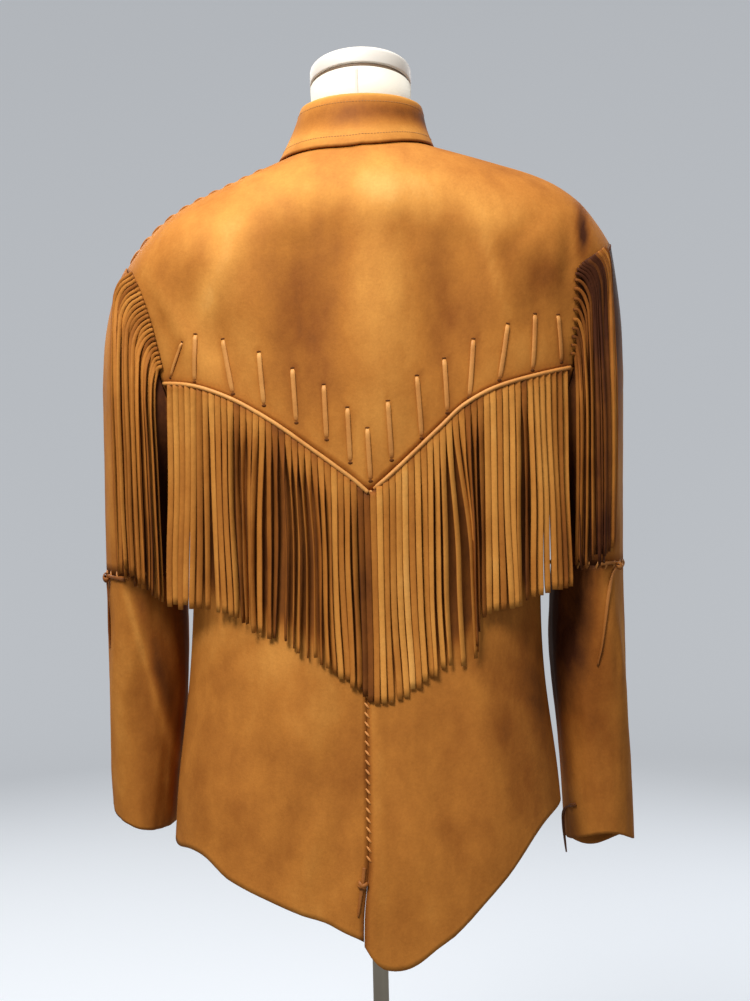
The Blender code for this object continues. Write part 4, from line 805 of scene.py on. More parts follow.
def spinProfile(profile, steps):
    # A turned shape from (radius, height) points
    mesh = bmesh.new()
    line = [mesh.verts.new((radius, 0, height)) for radius, height in profile]
    for a, b in zip(line, line[1:]):
        mesh.edges.new((a, b))
    bmesh.ops.spin(
        mesh, geom=mesh.verts[:] + mesh.edges[:], cent=(0, 0, 0), axis=(0, 0, 1), angle=math.tau,
        steps=steps, use_merge=True,
    )
    bmesh.ops.remove_doubles(mesh, verts=mesh.verts, dist=1e-6)
    return mesh


covers = []


def addCover(mesh, out):
    # Keeps the outer face of a sheet, to lay other pieces on
    outer = mesh.copy()
    for vert in outer.verts:
        vert.co = vert.co + vert.normal * out
    covers.append(BVHTree.FromBMesh(outer))
    outer.free()


def seenY(x, z, front=False):
    # Depth of the outermost hide at x and z, or None beside it
    way = Vector((0, -1 if front else 1, 0))
    aside = 0.0008
    for stepX, stepZ in ((0, 0), (0, aside), (0, -aside), (aside, 0), (-aside, 0)):
        found = []
        for tree in covers:
            spot = tree.ray_cast(Vector((x + stepX, -way.y, z + stepZ)), way)[0]
            if spot is not None:
                found.append(spot.y)
        if found:
            return max(found) if front else min(found)
    return None


def seat(x, z, gap, front=False):
    # A point on the hide and the direction away from it
    reach = 0.004
    heights = [seenY(x, z + step, front) for step in (-reach, reach)]
    sides = [seenY(x + step, z, front) for step in (-reach, reach)]
    sign = 1 if front else -1
    out = Vector((0, sign, 0))
    if None not in heights + sides:
        across = Vector((2 * reach, sides[1] - sides[0], 0))
        up = Vector((0, heights[1] - heights[0], 2 * reach))
        out = across.cross(up).normalized()
        out = -out if out.y * sign < 0 else out
    y = seenY(x, z, front)
    return Vector((x, 0.0 if y is None else y, z)) + out * gap, out


def smoothPath(points, count):
    # Points along a smooth curve through the given ones
    last = len(points) - 1
    made = []
    for k in range(count + 1):
        at = k / count * last
        i = min(int(at), last - 1)
        t = at - i
        p0, p1, p2, p3 = (points[min(max(i + j, 0), last)] for j in (-1, 0, 1, 2))
        squared, cubed = 2 * p0 - 5 * p1 + 4 * p2 - p3, 3 * p1 - p0 - 3 * p2 + p3
        made.append(0.5 * (2 * p1 + (p2 - p0) * t + squared * t * t + cubed * t**3))
    return made


def runAt(points, k):
    # Direction of a line of points at its point k
    return (points[min(k + 1, len(points) - 1)] - points[max(k - 1, 0)]).normalized()


thongSection = (
    (-1, 0.25), (-0.86, 0.0), (0.86, 0.0), (1, 0.25), (1, 0.62), (0.72, 1.0), (-0.72, 1.0), (-1, 0.62),
)


def thongLoop(centre, side, out, wide, thick):
    # Section of a cut thong with softened corners, lying on its underside
    return [centre + side * (across * wide / 2) + out * (up * thick) for across, up in thongSection]


# Body panels

panelGrid = {
    "neck": 16, "side": 30, "yokeRows": 60, "backLow": 64, "backHigh": 22, "frontLow": 56, "frontHigh": 54,
}


def halfShares():
    inNeck, aside = panelGrid["neck"], panelGrid["side"]
    rims = [neckline["halfWidth"] * math.sin(math.pi / 2 * k / inNeck) for k in range(inNeck + 1)]
    across = [shareAt(x, ridgeZ(neckline["halfWidth"])) for x in rims]
    neck = across[-1]
    return across + [neck + (1 - neck) * k / aside for k in range(1, aside + 1)]


def bodyPlace(back, centreOut, lift=None):
    def placeOf(column, row):
        share, low, high = column
        z = low + (high - low) * row
        x = bodyX(share, z)
        if share in centreOut:
            x = read(bodyRings, z, "lean") + centreOut[share](z)
        point = Vector((x, bodyY(x, z, back, True), z))
        if lift is not None:
            point += lift(x - read(bodyRings, z, "lean")) * bodyNormal(x, z, back)
        atSide = abs(share) > 0.999 and z <= leather["underarm"]
        besideNeck = abs(x) >= neckline["halfWidth"] - 1e-6
        if atSide or row > 0.9999 and besideNeck and high > neckline["tip"] - 0.03:
            point.y += -leather["seam"] / 2 if back else leather["seam"] / 2
        return point

    return placeOf


def columnEnds(shares, lowOf, highOf):
    return [(share, settle(share, lowOf), settle(share, highOf)) for share in shares]


def buildPanel(name, columns, rows, placeOf, nodes, toneOf):
    mesh = bmesh.new()
    addGrid(mesh, columns, rows, placeOf)
    faceAway(mesh, lambda point: Vector((0, 0, point.z)))
    addCover(mesh, leather["thick"])
    return finishPiece(name, mesh, skin, nodes, toneOf, leather["thick"])


def edgeShade(distance, width=0.010, strength=0.45):
    # Painted shade along a seam or an edge, fading with distance from it
    return -strength * math.exp(-max(distance, 0.0) / width)


def reliefShading(folds, creases, x, z):
    # Painted light and shade that follow the relief: lighter on ridges, darker in troughs
    return 14 * foldDepth(folds, x, z) + 110 * foldDepth(creases, x, z)


def stitchShade(x, z):
    # The hide is drawn in along each lace stitch, and painted shade darkens it there
    dark = 0.0
    for stitch in stitches + (sideLace,):
        run = Vector((stitch.footX - stitch.topX, stitch.footZ - stitch.topZ))
        fromTop = Vector((x, z)) - Vector((stitch.topX, stitch.topZ))
        t = min(max(fromTop.dot(run) / run.length_squared, 0.0), 1.0)
        away = (fromTop - run * t).length
        if away < 0.012:
            dark -= 0.34 * math.exp(-((away / 0.0036) ** 2))
    return dark


def yokeTone(point):
    tone = foldDepth(backLightAndShade, point.x, point.z) + reliefShading(backFolds, backCreases, point.x, point.z)
    # Painted shade just above the yoke's edge, under the welt
    tone += edgeShade(point.z - yokeLine(point.x) - 0.002, 0.0025, 0.65)
    # Painted shade along the left armhole edge
    if point.z < 1.33 and point.x < 0:
        tone += edgeShade(bodyX(1, point.z) - abs(point.x), 0.005, 0.30)
    if point.x > 0.19:
        # Right of the diagonal edge the yoke lies in its fringe's shade
        root = read(armRoots[1], 0.5 * ease(0.2355, 0.2065, point.x), "z")
        tone -= 1.0 * ease(root + 0.002, root - 0.004, point.z) * ease(0.199, 0.206, point.x)
    # Painted shade of the stitches, and painted shade darkening the right side
    return tone + stitchShade(point.x, point.z) - 0.10 * ease(0.06, 0.20, point.x)


def buildYoke():
    half = halfShares()
    shares = [-share for share in reversed(half[1:])] + half
    columns = columnEnds(shares, lambda x: yokeLine(x) + leather["seam"] / 2, lambda x: topZ(x, True))
    rows = [1 - (1 - k / panelGrid["yokeRows"]) ** 1.7 for k in range(panelGrid["yokeRows"] + 1)]
    return buildPanel("yokeBack", columns, rows, bodyPlace(True, {}), ["yoke_back"], yokeTone)


def underarmRows(column, below, above, bothEnds):
    _, low, high = column
    part = (leather["underarm"] - low) / (high - low)
    rows = [part * k / below for k in range(below)]
    for k in range(above + 1):
        t = k / above
        rows.append(part + (1 - part) * (1 - (1 - t**1.7) ** 1.7 if bothEnds else t**1.7))
    return rows


def buildLowerBack(side, word):
    shares = [side * share for share in halfShares()]
    leanAt = read(bodyRings, leather["ventTop"], "lean")

    def hemOf(x):
        return read(backHem[side], side * (x - leanAt), "z")

    def highOf(x):
        return read(yokeEdge[side], abs(x), "z") - leather["seam"] / 2

    def centreOut(z):
        vent = ease(-leather["ventTop"], leather["ventOpens"] - leather["ventTop"], -z)
        return side * (leather["seam"] / 2 + 0.0002 * vent)

    def seamRoll(out):
        # The right half rolls over the lacing, and the left half dips to it
        if side > 0:
            return 0.0024 * math.exp(-((out - 0.0075) / 0.0065) ** 2)
        dip = -0.0004 * math.exp(-((out + 0.004) / 0.004) ** 2)
        return dip + 0.0010 * math.exp(-((out + 0.014) / 0.008) ** 2)

    def toneOf(point):
        tone = foldDepth(backLightAndShade, point.x, point.z) + reliefShading(backFolds, backCreases, point.x, point.z)
        tone += 0.18 * math.exp(-max(point.z - hemOf(point.x), 0.0) / 0.004)
        # Painted shade along the centre seam
        tone += edgeShade(abs(point.x - read(bodyRings, point.z, "lean")), 0.0016, 0.60)
        shade = underFringe(point.x, point.z)
        # Painted shade under the fringe, over the whole lower back, and darkening the right side
        return (tone - 0.08) * (1 - shade) - 0.85 * shade - 0.10 * ease(0.05, 0.18, point.x)

    columns = columnEnds(shares, hemOf, highOf)
    rows = underarmRows(columns[-1], panelGrid["backLow"], panelGrid["backHigh"], False)
    placeOf = bodyPlace(True, {0: centreOut}, seamRoll)
    return buildPanel("back" + word, columns, rows, placeOf, ["back_" + word.lower()], toneOf)


frontCut = {"overlap": 0.014, "blend": 0.050, "lift": 0.0024, "hemLight": 0.15, "edgeShade": 0.40}


def frontLift(side, out):
    return 0.0 if side > 0 else frontCut["lift"] * (1 - ease(frontCut["overlap"], frontCut["blend"], -out))


def buildFront(side, word):
    half = halfShares()
    shares = [0] + [side * (0.006 + 0.028 * k / 3) for k in range(4)]
    shares += [side * share for share in half if share > 0.045]
    inner = {0: lambda z: -side * frontCut["overlap"]}
    for k in range(4):
        inner[shares[k + 1]] = lambda z, k=k: side * (frontCut["overlap"] * (2 * (k + 1) / 4 - 1))
    leanAt = read(bodyRings, leather["ventTop"], "lean")

    def hemOf(x):
        return read(frontHem[side], side * (x - leanAt), "z")

    def toneOf(point):
        tone = foldDepth(frontLightAndShade, point.x, point.z)
        tone += reliefShading(frontFolds, frontCreases, point.x, point.z)
        out = abs(point.x - read(bodyRings, point.z, "lean"))
        tone += frontCut["hemLight"] * math.exp(-max(point.z - hemOf(point.x), 0.0) / 0.004)
        # Painted shade along the overlapping front edge
        return tone - frontCut["edgeShade"] * math.exp(-((out - frontCut["overlap"]) / 0.003) ** 2)

    columns = columnEnds(shares, hemOf, lambda x: topZ(x, False))
    rows = underarmRows(columns[-1], panelGrid["frontLow"], panelGrid["frontHigh"], True)
    placeOf = bodyPlace(False, inner, lambda out: frontLift(side, out))
    return buildPanel("front" + word, columns, rows, placeOf, ["front_" + word.lower()], toneOf)


yoke = buildYoke()
backs = {side: buildLowerBack(side, word) for side, word in sides}
fronts = {side: buildFront(side, word) for side, word in sides}
print("body panels made")

# Sleeves

sleeveGrid = {"around": 84, "upper": 44, "lower": 46}
sleeveSag = {"depth": {-1: 0.0045, 1: 0.0085}, "z": 0.930, "halfZ": 0.085}

tips = {side: settle(side, ridgeZ) for side in (-1, 1)}


def armholePoint(side, turn):
    z = (tips[side] + leather["underarm"]) / 2 + (tips[side] - leather["underarm"]) / 2 * math.cos(turn)
    x = bodyX(side, z)
    back = math.sin(turn) >= 0
    out = bodyNormal(x, z, back)
    away = Vector((side, 0, 0))
    away = (2 * away - out * away.dot(out)).normalized()
    return bodyPoint(x, z, back, leather["thick"]) + away * sleeveCut["gap"]


def cuffLift(side, turn):
    cuff = cuffs[side]
    across = (cuff.outer + cuff.inner) / 2 + (cuff.outer - cuff.inner) / 2 * math.cos(turn)
    face = cuff.back if math.sin(turn) > 0 else cuff.front
    return across + (face - (cuff.outer + cuff.inner) / 2) * math.sin(turn) ** 2


def creasePush(creases, turn, z):
    push = 0.0
    for crease in creases:
        along = z - crease.z
        roundBy = (turn - crease.angle - crease.slope * along + math.pi) % math.tau - math.pi
        near = (roundBy / crease.halfAngle) ** 2 + (along / crease.halfZ) ** 2
        if near < 9:
            push += crease.depth * math.exp(-near)
    return push


def sleevePoint(side, step, turn):
    outX, inX = read(sleeveRings, step, "outX"), read(sleeveRings, step, "inX")
    if side < 0:
        outX += read(leftSleeve, step, "outX")
        inX += read(leftSleeve, step, "inX")
    outZ, inZ = read(sleeveRings, step, "outZ"), read(sleeveRings, step, "inZ")
    share = math.cos(turn)
    z = (outZ + inZ) / 2 + (outZ - inZ) / 2 * share
    # The sleeves sag towards the body below the elbow, the right one more
    fromSag = (outZ + inZ) / 2 - sleeveSag["z"]
    inX -= sleeveSag["depth"][side] * math.exp(-((fromSag / sleeveSag["halfZ"]) ** 2))
    x = (outX + inX) / 2 + (outX - inX) / 2 * share
    z += ease(sleeveCut["cuff"] - sleeveCut["cuffBlend"], sleeveCut["cuff"], step) * cuffLift(side, turn)
    push = creasePush(sleeveFolds, turn, z) * ease(1.0, 3.0, step)
    fine = creasePush(sleeveCreases, turn + 0.25 * side, z) + ripple(x * side, math.sin(turn), z, 9.0 + side)
    push += fine * ease(1.5, 3.5, step)
    y = read(sleeveRings, step, "midY") - (read(sleeveRings, step, "halfDepth") + push) * math.sin(turn)
    point = Vector((side * (x + push * share), y, z))
    if step < sleeveCut["blend"]:
        point = armholePoint(side, turn).lerp(point, ease(0.0, sleeveCut["blend"], step))
    return point


def sleeveMiddle(point):
    side = math.copysign(1, point.x)
    at = min(sleeveRings, key=lambda ring: abs((ring.outZ + ring.inZ) / 2 - point.z))
    return Vector((side * (at.outX + at.inX) / 2, at.midY, point.z))


def buildSleeve(name, side, steps, node):
    turns = [math.tau * k / sleeveGrid["around"] for k in range(sleeveGrid["around"] + 1)]
    mesh = bmesh.new()
    addGrid(mesh, turns, steps, lambda turn, step: sleevePoint(side, step, turn % math.tau), True)
    faceAway(mesh, sleeveMiddle)
    addCover(mesh, 0.0)
    elbowZ = read(sleeveRings, sleeveCut["elbow"], "outZ")

    def toneOf(point):
        middle = sleeveMiddle(point)
        turn = math.atan2(middle.y - point.y, side * (point.x - middle.x)) % math.tau
        # Painted light and shade that follow the folds and creases
        tone = 60 * creasePush(sleeveFolds, turn, point.z)
        tone += 150 * creasePush(sleeveCreases, turn + 0.25 * side, point.z)
        # Painted shade at the elbow seam and under the armhole fringe
        tone += edgeShade(abs(point.z - elbowZ), 0.003, 0.50) - 1.0 * underArmFringe(point)
        inner = ease(0.15, -0.75, math.cos(turn))
        if side < 0:
            # The left sleeve has one long crease from the elbow tie, painted as a highlight with painted shade
            # beside it, and painted shade darkens it towards the body
            tone -= 0.34 * inner * ease(0.80, 0.88, point.z)
            along = (1.000 - point.z) / 0.190
            crease = point.x - (-0.243 + 0.040 * along)
            fade = ease(1.25, 0.75, along)
            tone += 0.45 * math.exp(-(crease / 0.004) ** 2) * ease(-0.05, 0.05, along) * fade
            tone -= 0.35 * math.exp(-((crease - 0.012) / 0.007) ** 2) * ease(-0.05, 0.10, along) * fade
        else:
            # The right sleeve lies in the body's shade down to a slanting line
            slant = ease(0.236 - 0.16 * (1.010 - point.z), 0.206 - 0.16 * (1.010 - point.z), point.x)
            tone -= 0.90 * slant * ease(0.770, 0.860, point.z) * ease(0.075, 0.035, point.y) + 0.06
        return tone - 0.12

    return finishPiece(name, mesh, skin, [node], toneOf, leather["thick"], -1.0)


for side, word in sides:
    upper = [sleeveCut["elbow"] * (k / sleeveGrid["upper"]) ** 1.15 for k in range(sleeveGrid["upper"] + 1)]
    start = sleeveCut["elbow"] + sleeveCut["elbowGap"]
    count = sleeveGrid["lower"]
    lower = [start + (sleeveCut["cuff"] - start) * k / count for k in range(count + 1)]
    buildSleeve("sleeveUpper" + word, side, upper, "sleeve_upper_" + word.lower())
    buildSleeve("sleeveLower" + word, side, lower, "sleeve_lower_" + word.lower())
print("sleeves made")

# Collar

CollarPart = namedtuple("CollarPart", "turn topZ leftOut rightOut")
collarParts = (
    CollarPart(0.0, 1.4775, 0.0130, 0.0130),
    CollarPart(0.9, 1.4775, 0.0150, 0.0095),
    CollarPart(1.57, 1.4760, 0.0175, 0.0055),
    CollarPart(2.1, 1.4620, 0.0150, 0.0090),
    CollarPart(2.6, 1.4400, 0.0130, 0.0130),
    CollarPart(3.02, 1.4260, 0.0120, 0.0120),
)
collar = {
    "end": 3.02, "topIn": 0.0112, "topBackIn": 0.0105, "fold": 0.0032, "bow": -0.0017,
    "standShade": -0.45,
    "lift": 0.0011, "frontLift": 0.0045, "around": 120, "stitch": 0.0030, "stitchRadius": 0.00032,
}


def neckRim(turn, out):
    depth = neckline["back"] if math.cos(turn) > 0 else neckline["front"]
    x = math.sin(turn) * (neckline["halfWidth"] + out)
    return Vector((x, neckline["seamY"] - math.cos(turn) * (depth + out), 0))


def collarLean(turn):
    share = (1 + math.cos(turn)) / 2
    return collar["topIn"] + (collar["topBackIn"] - collar["topIn"]) * share


def collarTurns(count):
    return [collar["end"] * (2 * k / count - 1) for k in range(count + 1)]


def standPlace(turn, row):
    point = neckRim(turn, 0)
    low = topZ(point.x * 0.9999, math.cos(turn) > 0) + leather["thick"] + 2 * leather["seam"]
    low += collar["frontLift"] * ease(1.9, 2.7, abs(turn))
    high = read(collarParts, abs(turn), "topZ") - collar["fold"] - leather["thick"]
    point = neckRim(turn, -collarLean(turn) * row)
    point.z = low + (high - low) * row
    return point


def leafPlace(turn, row):
    # Rows 0 to 1 turn over the fold, and 1 to 2 lie down on the yoke
    top = read(collarParts, abs(turn), "topZ")
    lean = collarLean(turn)
    if row <= 1:
        angle = math.pi * (1 - row)
        point = neckRim(turn, -lean + collar["fold"] * (1 + math.cos(angle)) - 0.0002)
        point.z = top - collar["fold"] + collar["fold"] * math.sin(angle)
        return point
    part = row - 1
    back = math.cos(turn) > 0
    over = collar["lift"] + leather["thick"] + frontCut["lift"] * ease(2.0, 2.6, abs(turn))
    foot = neckRim(turn, read(collarParts, abs(turn), "leftOut" if turn < 0 else "rightOut"))
    foot.z = surfaceZ(foot.x, foot.y)
    foot += bodyNormal(foot.x, foot.z, back) * over
    start = neckRim(turn, -lean + 2 * collar["fold"])
    start.z = top - collar["fold"]
    point = start.lerp(foot, part)
    bow = collar["bow"] * math.sin(math.pi * part)
    bow += 0.0007 * noise.noise(Vector((turn * 2.3, part * 1.6, 4.0))) * math.sin(math.pi * part)
    point += Vector((math.sin(turn) * bow, -math.cos(turn) * bow, 0))
    if point.z < ridgeZ(point.x) - 2 * leather["seam"]:
        y = bodyY(point.x, point.z, back)
        point.y = min(point.y, y - over) if back else max(point.y, y + over)
    return point


def buildCollar():
    mesh = bmesh.new()
    addGrid(mesh, collarTurns(collar["around"]), [k / 8 for k in range(9)], standPlace)
    faceAway(mesh, lambda point: Vector((0, 0, point.z)))
    # The stand under the leaf is darkened all over as painted shade
    stand = finishPiece(
        "collarStand", mesh, skin, ["collar_stand"], lambda p: collar["standShade"], leather["thick"]
    )
    mesh = bmesh.new()
    rows = [k / 10 for k in range(10)] + [1 + k / 18 for k in range(19)]
    addGrid(mesh, collarTurns(collar["around"]), rows, leafPlace)
    faceAway(mesh, lambda point: Vector((0, 0, 1.36)))

    turns = collarTurns(collar["around"])
    feet = [leafPlace(turn, 2).z for turn in turns]
    tops = [leafPlace(turn, 0.5).z for turn in turns]

    def toneOf(point):
        turn = math.atan2(point.x / neckline["halfWidth"], -(point.y - neckline["seamY"]) / neckline["back"])
        k = min(max(round((turn / collar["end"] + 1) / 2 * collar["around"]), 0), collar["around"])
        part = (tops[k] - point.z) / (tops[k] - feet[k])
        # Painted highlights on the rolled fold and a lower band, painted shade across the middle and along the
        # lower edge
        tone = 0.50 * math.exp(-((part / 0.11) ** 2)) + 0.34 * math.exp(-(((part - 0.76) / 0.14) ** 2))
        tone -= 0.34 * math.exp(-(((part - 0.36) / 0.20) ** 2)) * (1 + 0.9 * ease(-0.03, 0.05, point.x))
        return tone - 0.60 * math.exp(-(((part - 1.02) / 0.035) ** 2)) + 0.10

    leaf = finishPiece("collarLeaf", mesh, skin, ["collar_leaf"], toneOf, leather["thick"])
    return stand, leaf


def addStitch(mesh, start, end, out, radius):
    # One sewn stitch, sunk at both ends
    along = (end - start).normalized()
    side = along.cross(out).normalized()
    loops = []
    for at, size, rise in ((0.0, 0.45, -0.6), (0.25, 1.0, 0.25), (0.75, 1.0, 0.25), (1.0, 0.45, -0.6)):
        centre = start.lerp(end, at) + out * (radius * rise)
        loop = []
        for k in range(5):
            turn = math.tau * k / 5
            loop.append(centre + (side * math.cos(turn) + out * math.sin(turn)) * (radius * size))
        loops.append(loop)
    addTube(mesh, loops)


def addStitchRow(mesh, points, outs, pitch, share, radius):
    # Stitches of even pitch along a line of points
    left = 0.0
    for k in range(len(points) - 1):
        run = points[k + 1] - points[k]
        long = run.length
        while left < long:
            start = points[k] + run * (left / long)
            addStitch(mesh, start, start + run.normalized() * pitch * share, outs[k], radius)
            left += pitch
        left -= long


def buildCollarStitches():
    mesh = bmesh.new()
    for row in (1.80, 1.10):
        turns = collarTurns(400)
        points = [leafPlace(turn, row) for turn in turns]
        outs = []
        for turn, point in zip(turns, points):
            up = (leafPlace(turn, row - 0.06) - leafPlace(turn, row + 0.06)).normalized()
            across = (leafPlace(turn + 0.02, row) - leafPlace(turn - 0.02, row)).normalized()
            outs.append(across.cross(up).normalized())
        points = [point + out * leather["thick"] for point, out in zip(points, outs)]
        addStitchRow(mesh, points, outs, collar["stitch"], 0.80, collar["stitchRadius"])
    return finishSolid("collarStitches", mesh, threadTan, [])


collarStand, collarLeaf = buildCollar()
collarStitches = buildCollarStitches()
print("collar made")

# Fringe

strandSection = ((-1, -0.45), (-0.8, -1), (0.8, -1), (1, -0.45), (1, 0.45), (0.8, 1), (-0.8, 1), (-1, 0.45))


def addStrand(mesh, centres, twists, wides, thick, tones):
    # A cut strand through its centres, each section turned by its twist about the run
    loops, shades = [], []
    for k, (centre, twist, wide) in enumerate(zip(centres, twists, wides)):
        along = runAt(centres, k)
        out = Vector((0, -1, 0))
        out = (out - along * out.dot(along)).normalized()
        side = along.cross(out)
        turned, tipped = math.cos(twist), math.sin(twist)
        side, out = side * turned + out * tipped, out * turned - side * tipped
        loop, shade = [], []
        for across, up in strandSection:
            cup = 0.08 * wide * (across * across - 0.5)
            loop.append(centre + side * (across * wide / 2) + out * (up * thick / 2 - cup))
            # Painted shade on each strand's sides, and more on its underside
            shade.append(max(tones[k] - (0.0 if up > 0.9 else 0.25 if up > 0 else 0.70), -1.1))
        loops.append(loop)
        shades.append(shade)
    addTube(mesh, loops, shades)


def restDepth(x, z, reach):
    # Depth of the hide behind a strand that is 2 reach wide
    found = [seenY(x + aside, z) for aside in (-reach, 0.0, reach)]
    found = [y for y in found if y is not None]
    return min(found) if found else None


def hangDepths(xs, zs, clears, give):
    # A strand hangs plumb from where it leaves the hide, and what is behind it pushes it out
    depths = []
    for x, z, clear in zip(xs, zs, clears):
        behind = restDepth(x, z, 0.0022)
        before = depths[-1] + give if depths else 1.0
        depths.append(before if behind is None else min(behind - clear, before))
    for _ in range(3):
        eased = depths[:]
        for k in range(1, len(depths) - 1):
            eased[k] = min(depths[k], (depths[k - 1] + 2 * depths[k] + depths[k + 1]) / 4)
        depths = eased
    return depths


def buildYokeFringe(side, word):
    rng = random.Random(40 + side)
    mesh = bmesh.new()
    pitch = yokeFringe["half"] / yokeFringe["strands"]
    count = yokeFringe["stations"]
    for k in range(yokeFringe["strands"]):
        middle = side * pitch * (k + 0.5)
        top = yokeLine(middle) - 0.0012
        long = read(fringeLengths, middle, "long") * rng.uniform(0.985, 1.015) + yokeFringe["strip"]
        drift = read(fringeLengths, middle, "drift")
        loose = min(max(read(fringeClusters, middle, "open"), 0.0), 1.0)
        # Painted light and shade of each strand by its group, with some strands shaded darker at random
        light = read(fringeClusters, middle, "light") + rng.uniform(-0.26, 0.14)
        light -= 0.45 if rng.random() < 0.22 else 0.0
        swing = read(fringeClusters, middle, "swing")
        way = 1 if noise.noise(Vector((k * 0.37, 5.0, side))) > 0 else -1
        turned = way * (0.10 + yokeFringe["turn"] * loose) * rng.uniform(0.75, 1.10)
        wide = pitch * yokeFringe["flat"] * (1 - 0.10 * loose) * rng.uniform(0.97, 1.03)
        layer = yokeFringe["layer"] * loose * (k % 2) + 0.0004 * (k % 2)
        jitter = rng.uniform(-0.0020, 0.0020)
        xs, zs, clears, twists, wides, tones = [], [], [], [], [], []
        for j in range(count + 1):
            t = (j / count) ** 1.15
            stray = noise.noise(Vector((middle * 38, t * 1.5, 1.0))) * yokeFringe["stray"] * t**1.2
            xs.append(middle + drift * t + swing * ease(0.0, 0.6, t) + stray + jitter * t * (0.3 + loose))
            zs.append(top - long * t)
            wave = noise.noise(Vector((k * 1.7, t * 2.4, 8.0)))
            twists.append(turned * ease(0.03, 0.24, t) + 0.7 * (0.15 + loose) * wave * ease(0.1, 0.5, t))
            width = wide if t > 0.06 else pitch * 0.985
            wides.append(width if j < count else width * 0.86)
            bulge = 0.0013 * math.exp(-(((t - 0.045) / 0.030) ** 2))
            rise = yokeFringe["clear"] + bulge + layer * ease(0.03, 0.25, t)
            rise += abs(math.sin(twists[-1])) * width / 2
            clears.append(rise + 0.0012 * math.sin(math.pi * min(t * 1.3, 1.0)))
            # Painted shade just under the welt, a painted highlight on the bulging top, a little lighter towards
            # the end, and painted shade towards the right
            shade = light + 0.16 * noise.noise(Vector((k * 2.1, t * 3.0, 4.0))) - 0.45 * ease(0.030, 0.0, t)
            shade += 0.12 * math.exp(-(((t - 0.07) / 0.04) ** 2)) + 0.06 * t
            tones.append(shade - 0.12 * ease(0.0, 0.18, middle))
        depths = hangDepths(xs, zs, clears, 0.0006)
        centres = [Vector((x, y, z)) for x, y, z in zip(xs, depths, zs)]
        addStrand(mesh, centres, twists, wides, yokeFringe["thick"], tones)
    return finishSolid("fringeYoke" + word, mesh, strandSkin, ["fringe_yoke_" + word.lower()])


def armRoot(side, part):
    # A root as (x, z), and the way out from it, square to the row of roots
    above, here, below = (
        Vector((side * read(armRoots[side], at, "x"), read(armRoots[side], at, "z")))
        for at in (part - 0.03, part, part + 0.03)
    )
    down = (below - above).normalized()
    return here, Vector((-down.y, down.x)) * side


def buildArmFringe(side, word):
    rng = random.Random(60 + side)
    mesh = bmesh.new()
    count = armFringe["stations"]
    for k in range(armFringe["strands"]):
        part = (k + 0.5) / armFringe["strands"]
        root, way = armRoot(side, part)
        # The right fringe starts with broad flat strands, and has finer ones below them
        broad = ease(0.42, 0.26, part) if side > 0 else 0.0
        column = side * read(armRoots[side], part, "fall") + rng.uniform(-0.0010, 0.0010)
        long = read(armRoots[side], part, "long") * rng.uniform(0.97, 1.02)
        reach = column - root.x
        guide = [
            root - way * 0.0030, root + way * 0.0014, Vector((root.x + reach * 0.55, root.y - 0.0060)),
            Vector((root.x + reach * 0.92, root.y - 0.0200)), Vector((column, root.y - 0.0450)),
        ]
        arch = smoothPath(guide, 12)
        sway = rng.uniform(-0.0018, 0.0018)
        rest = count - len(arch) + 1
        for j in range(1, rest + 1):
            t = j / rest
            stray = noise.noise(Vector((column * 60, t * 1.6, 3.0))) * 0.0030 * t
            x = column + sway * math.sin(math.pi * t) + stray
            arch.append(Vector((x, guide[-1].y - (long - 0.045) * t)))
        wide = (armFringe["wide"][side] + 0.0026 * broad) * rng.uniform(0.92, 1.08)
        turned = rng.choice((-1, 1)) * rng.uniform(0.20, 1.15) * (1 - 0.85 * broad)
        layer = armFringe["layer"] * (k % 3) * (1 - 0.6 * broad)
        # Painted light and shade for each strand: darker on the right fringe, and darkest in one column of it,
        # where it lies in shadow
        light = rng.uniform(-0.55, 0.20) - (0.10 if side < 0 else 0.45 - 0.35 * broad)
        if side > 0 and 0.2175 < column < 0.2320:
            light -= 0.75
        clears, twists, wides, tones = [], [], [], []
        for j in range(len(arch)):
            t = j / (len(arch) - 1)
            wave = noise.noise(Vector((k * 1.9, t * 2.2, 6.0)))
            twists.append(turned * ease(0.12, 0.4, t) + 0.5 * (1 - 0.7 * broad) * wave * ease(0.1, 0.5, t))
            wides.append(wide * (0.86 if j == len(arch) - 1 else 1.0) * (0.84 + 0.16 * ease(0.0, 0.30, t)))
            rise = 0.0008 + 0.0022 * math.sin(math.pi * min(t * 3.2, 1.0)) + layer * ease(0.10, 0.40, t)
            clears.append(rise + abs(math.sin(twists[-1])) * wide / 2)
            # Painted shade at the root, under the yoke's edge
            shade = light - 0.35 * ease(0.04, 0.0, t)
            tones.append(shade + 0.20 * noise.noise(Vector((k * 2.3, t * 3.0, 2.0))))
        depths = hangDepths([p.x for p in arch], [p.y for p in arch], clears, 0.0009)
        centres = [Vector((p.x, y, p.y)) for p, y in zip(arch, depths)]
        addStrand(mesh, centres, twists, wides, armFringe["thick"], tones)
    node = "fringe_armhole_" + word.lower()
    return finishSolid("fringeArmhole" + word, mesh, strandSkin, [node])


for side, word in sides:
    buildYokeFringe(side, word)
    buildArmFringe(side, word)
print("fringe made")

# Rolled cord along the yoke's edge

welt = {"radius": 0.0020, "start": 0.0012, "parts": 90, "sides": 12, "lie": 0.0002}


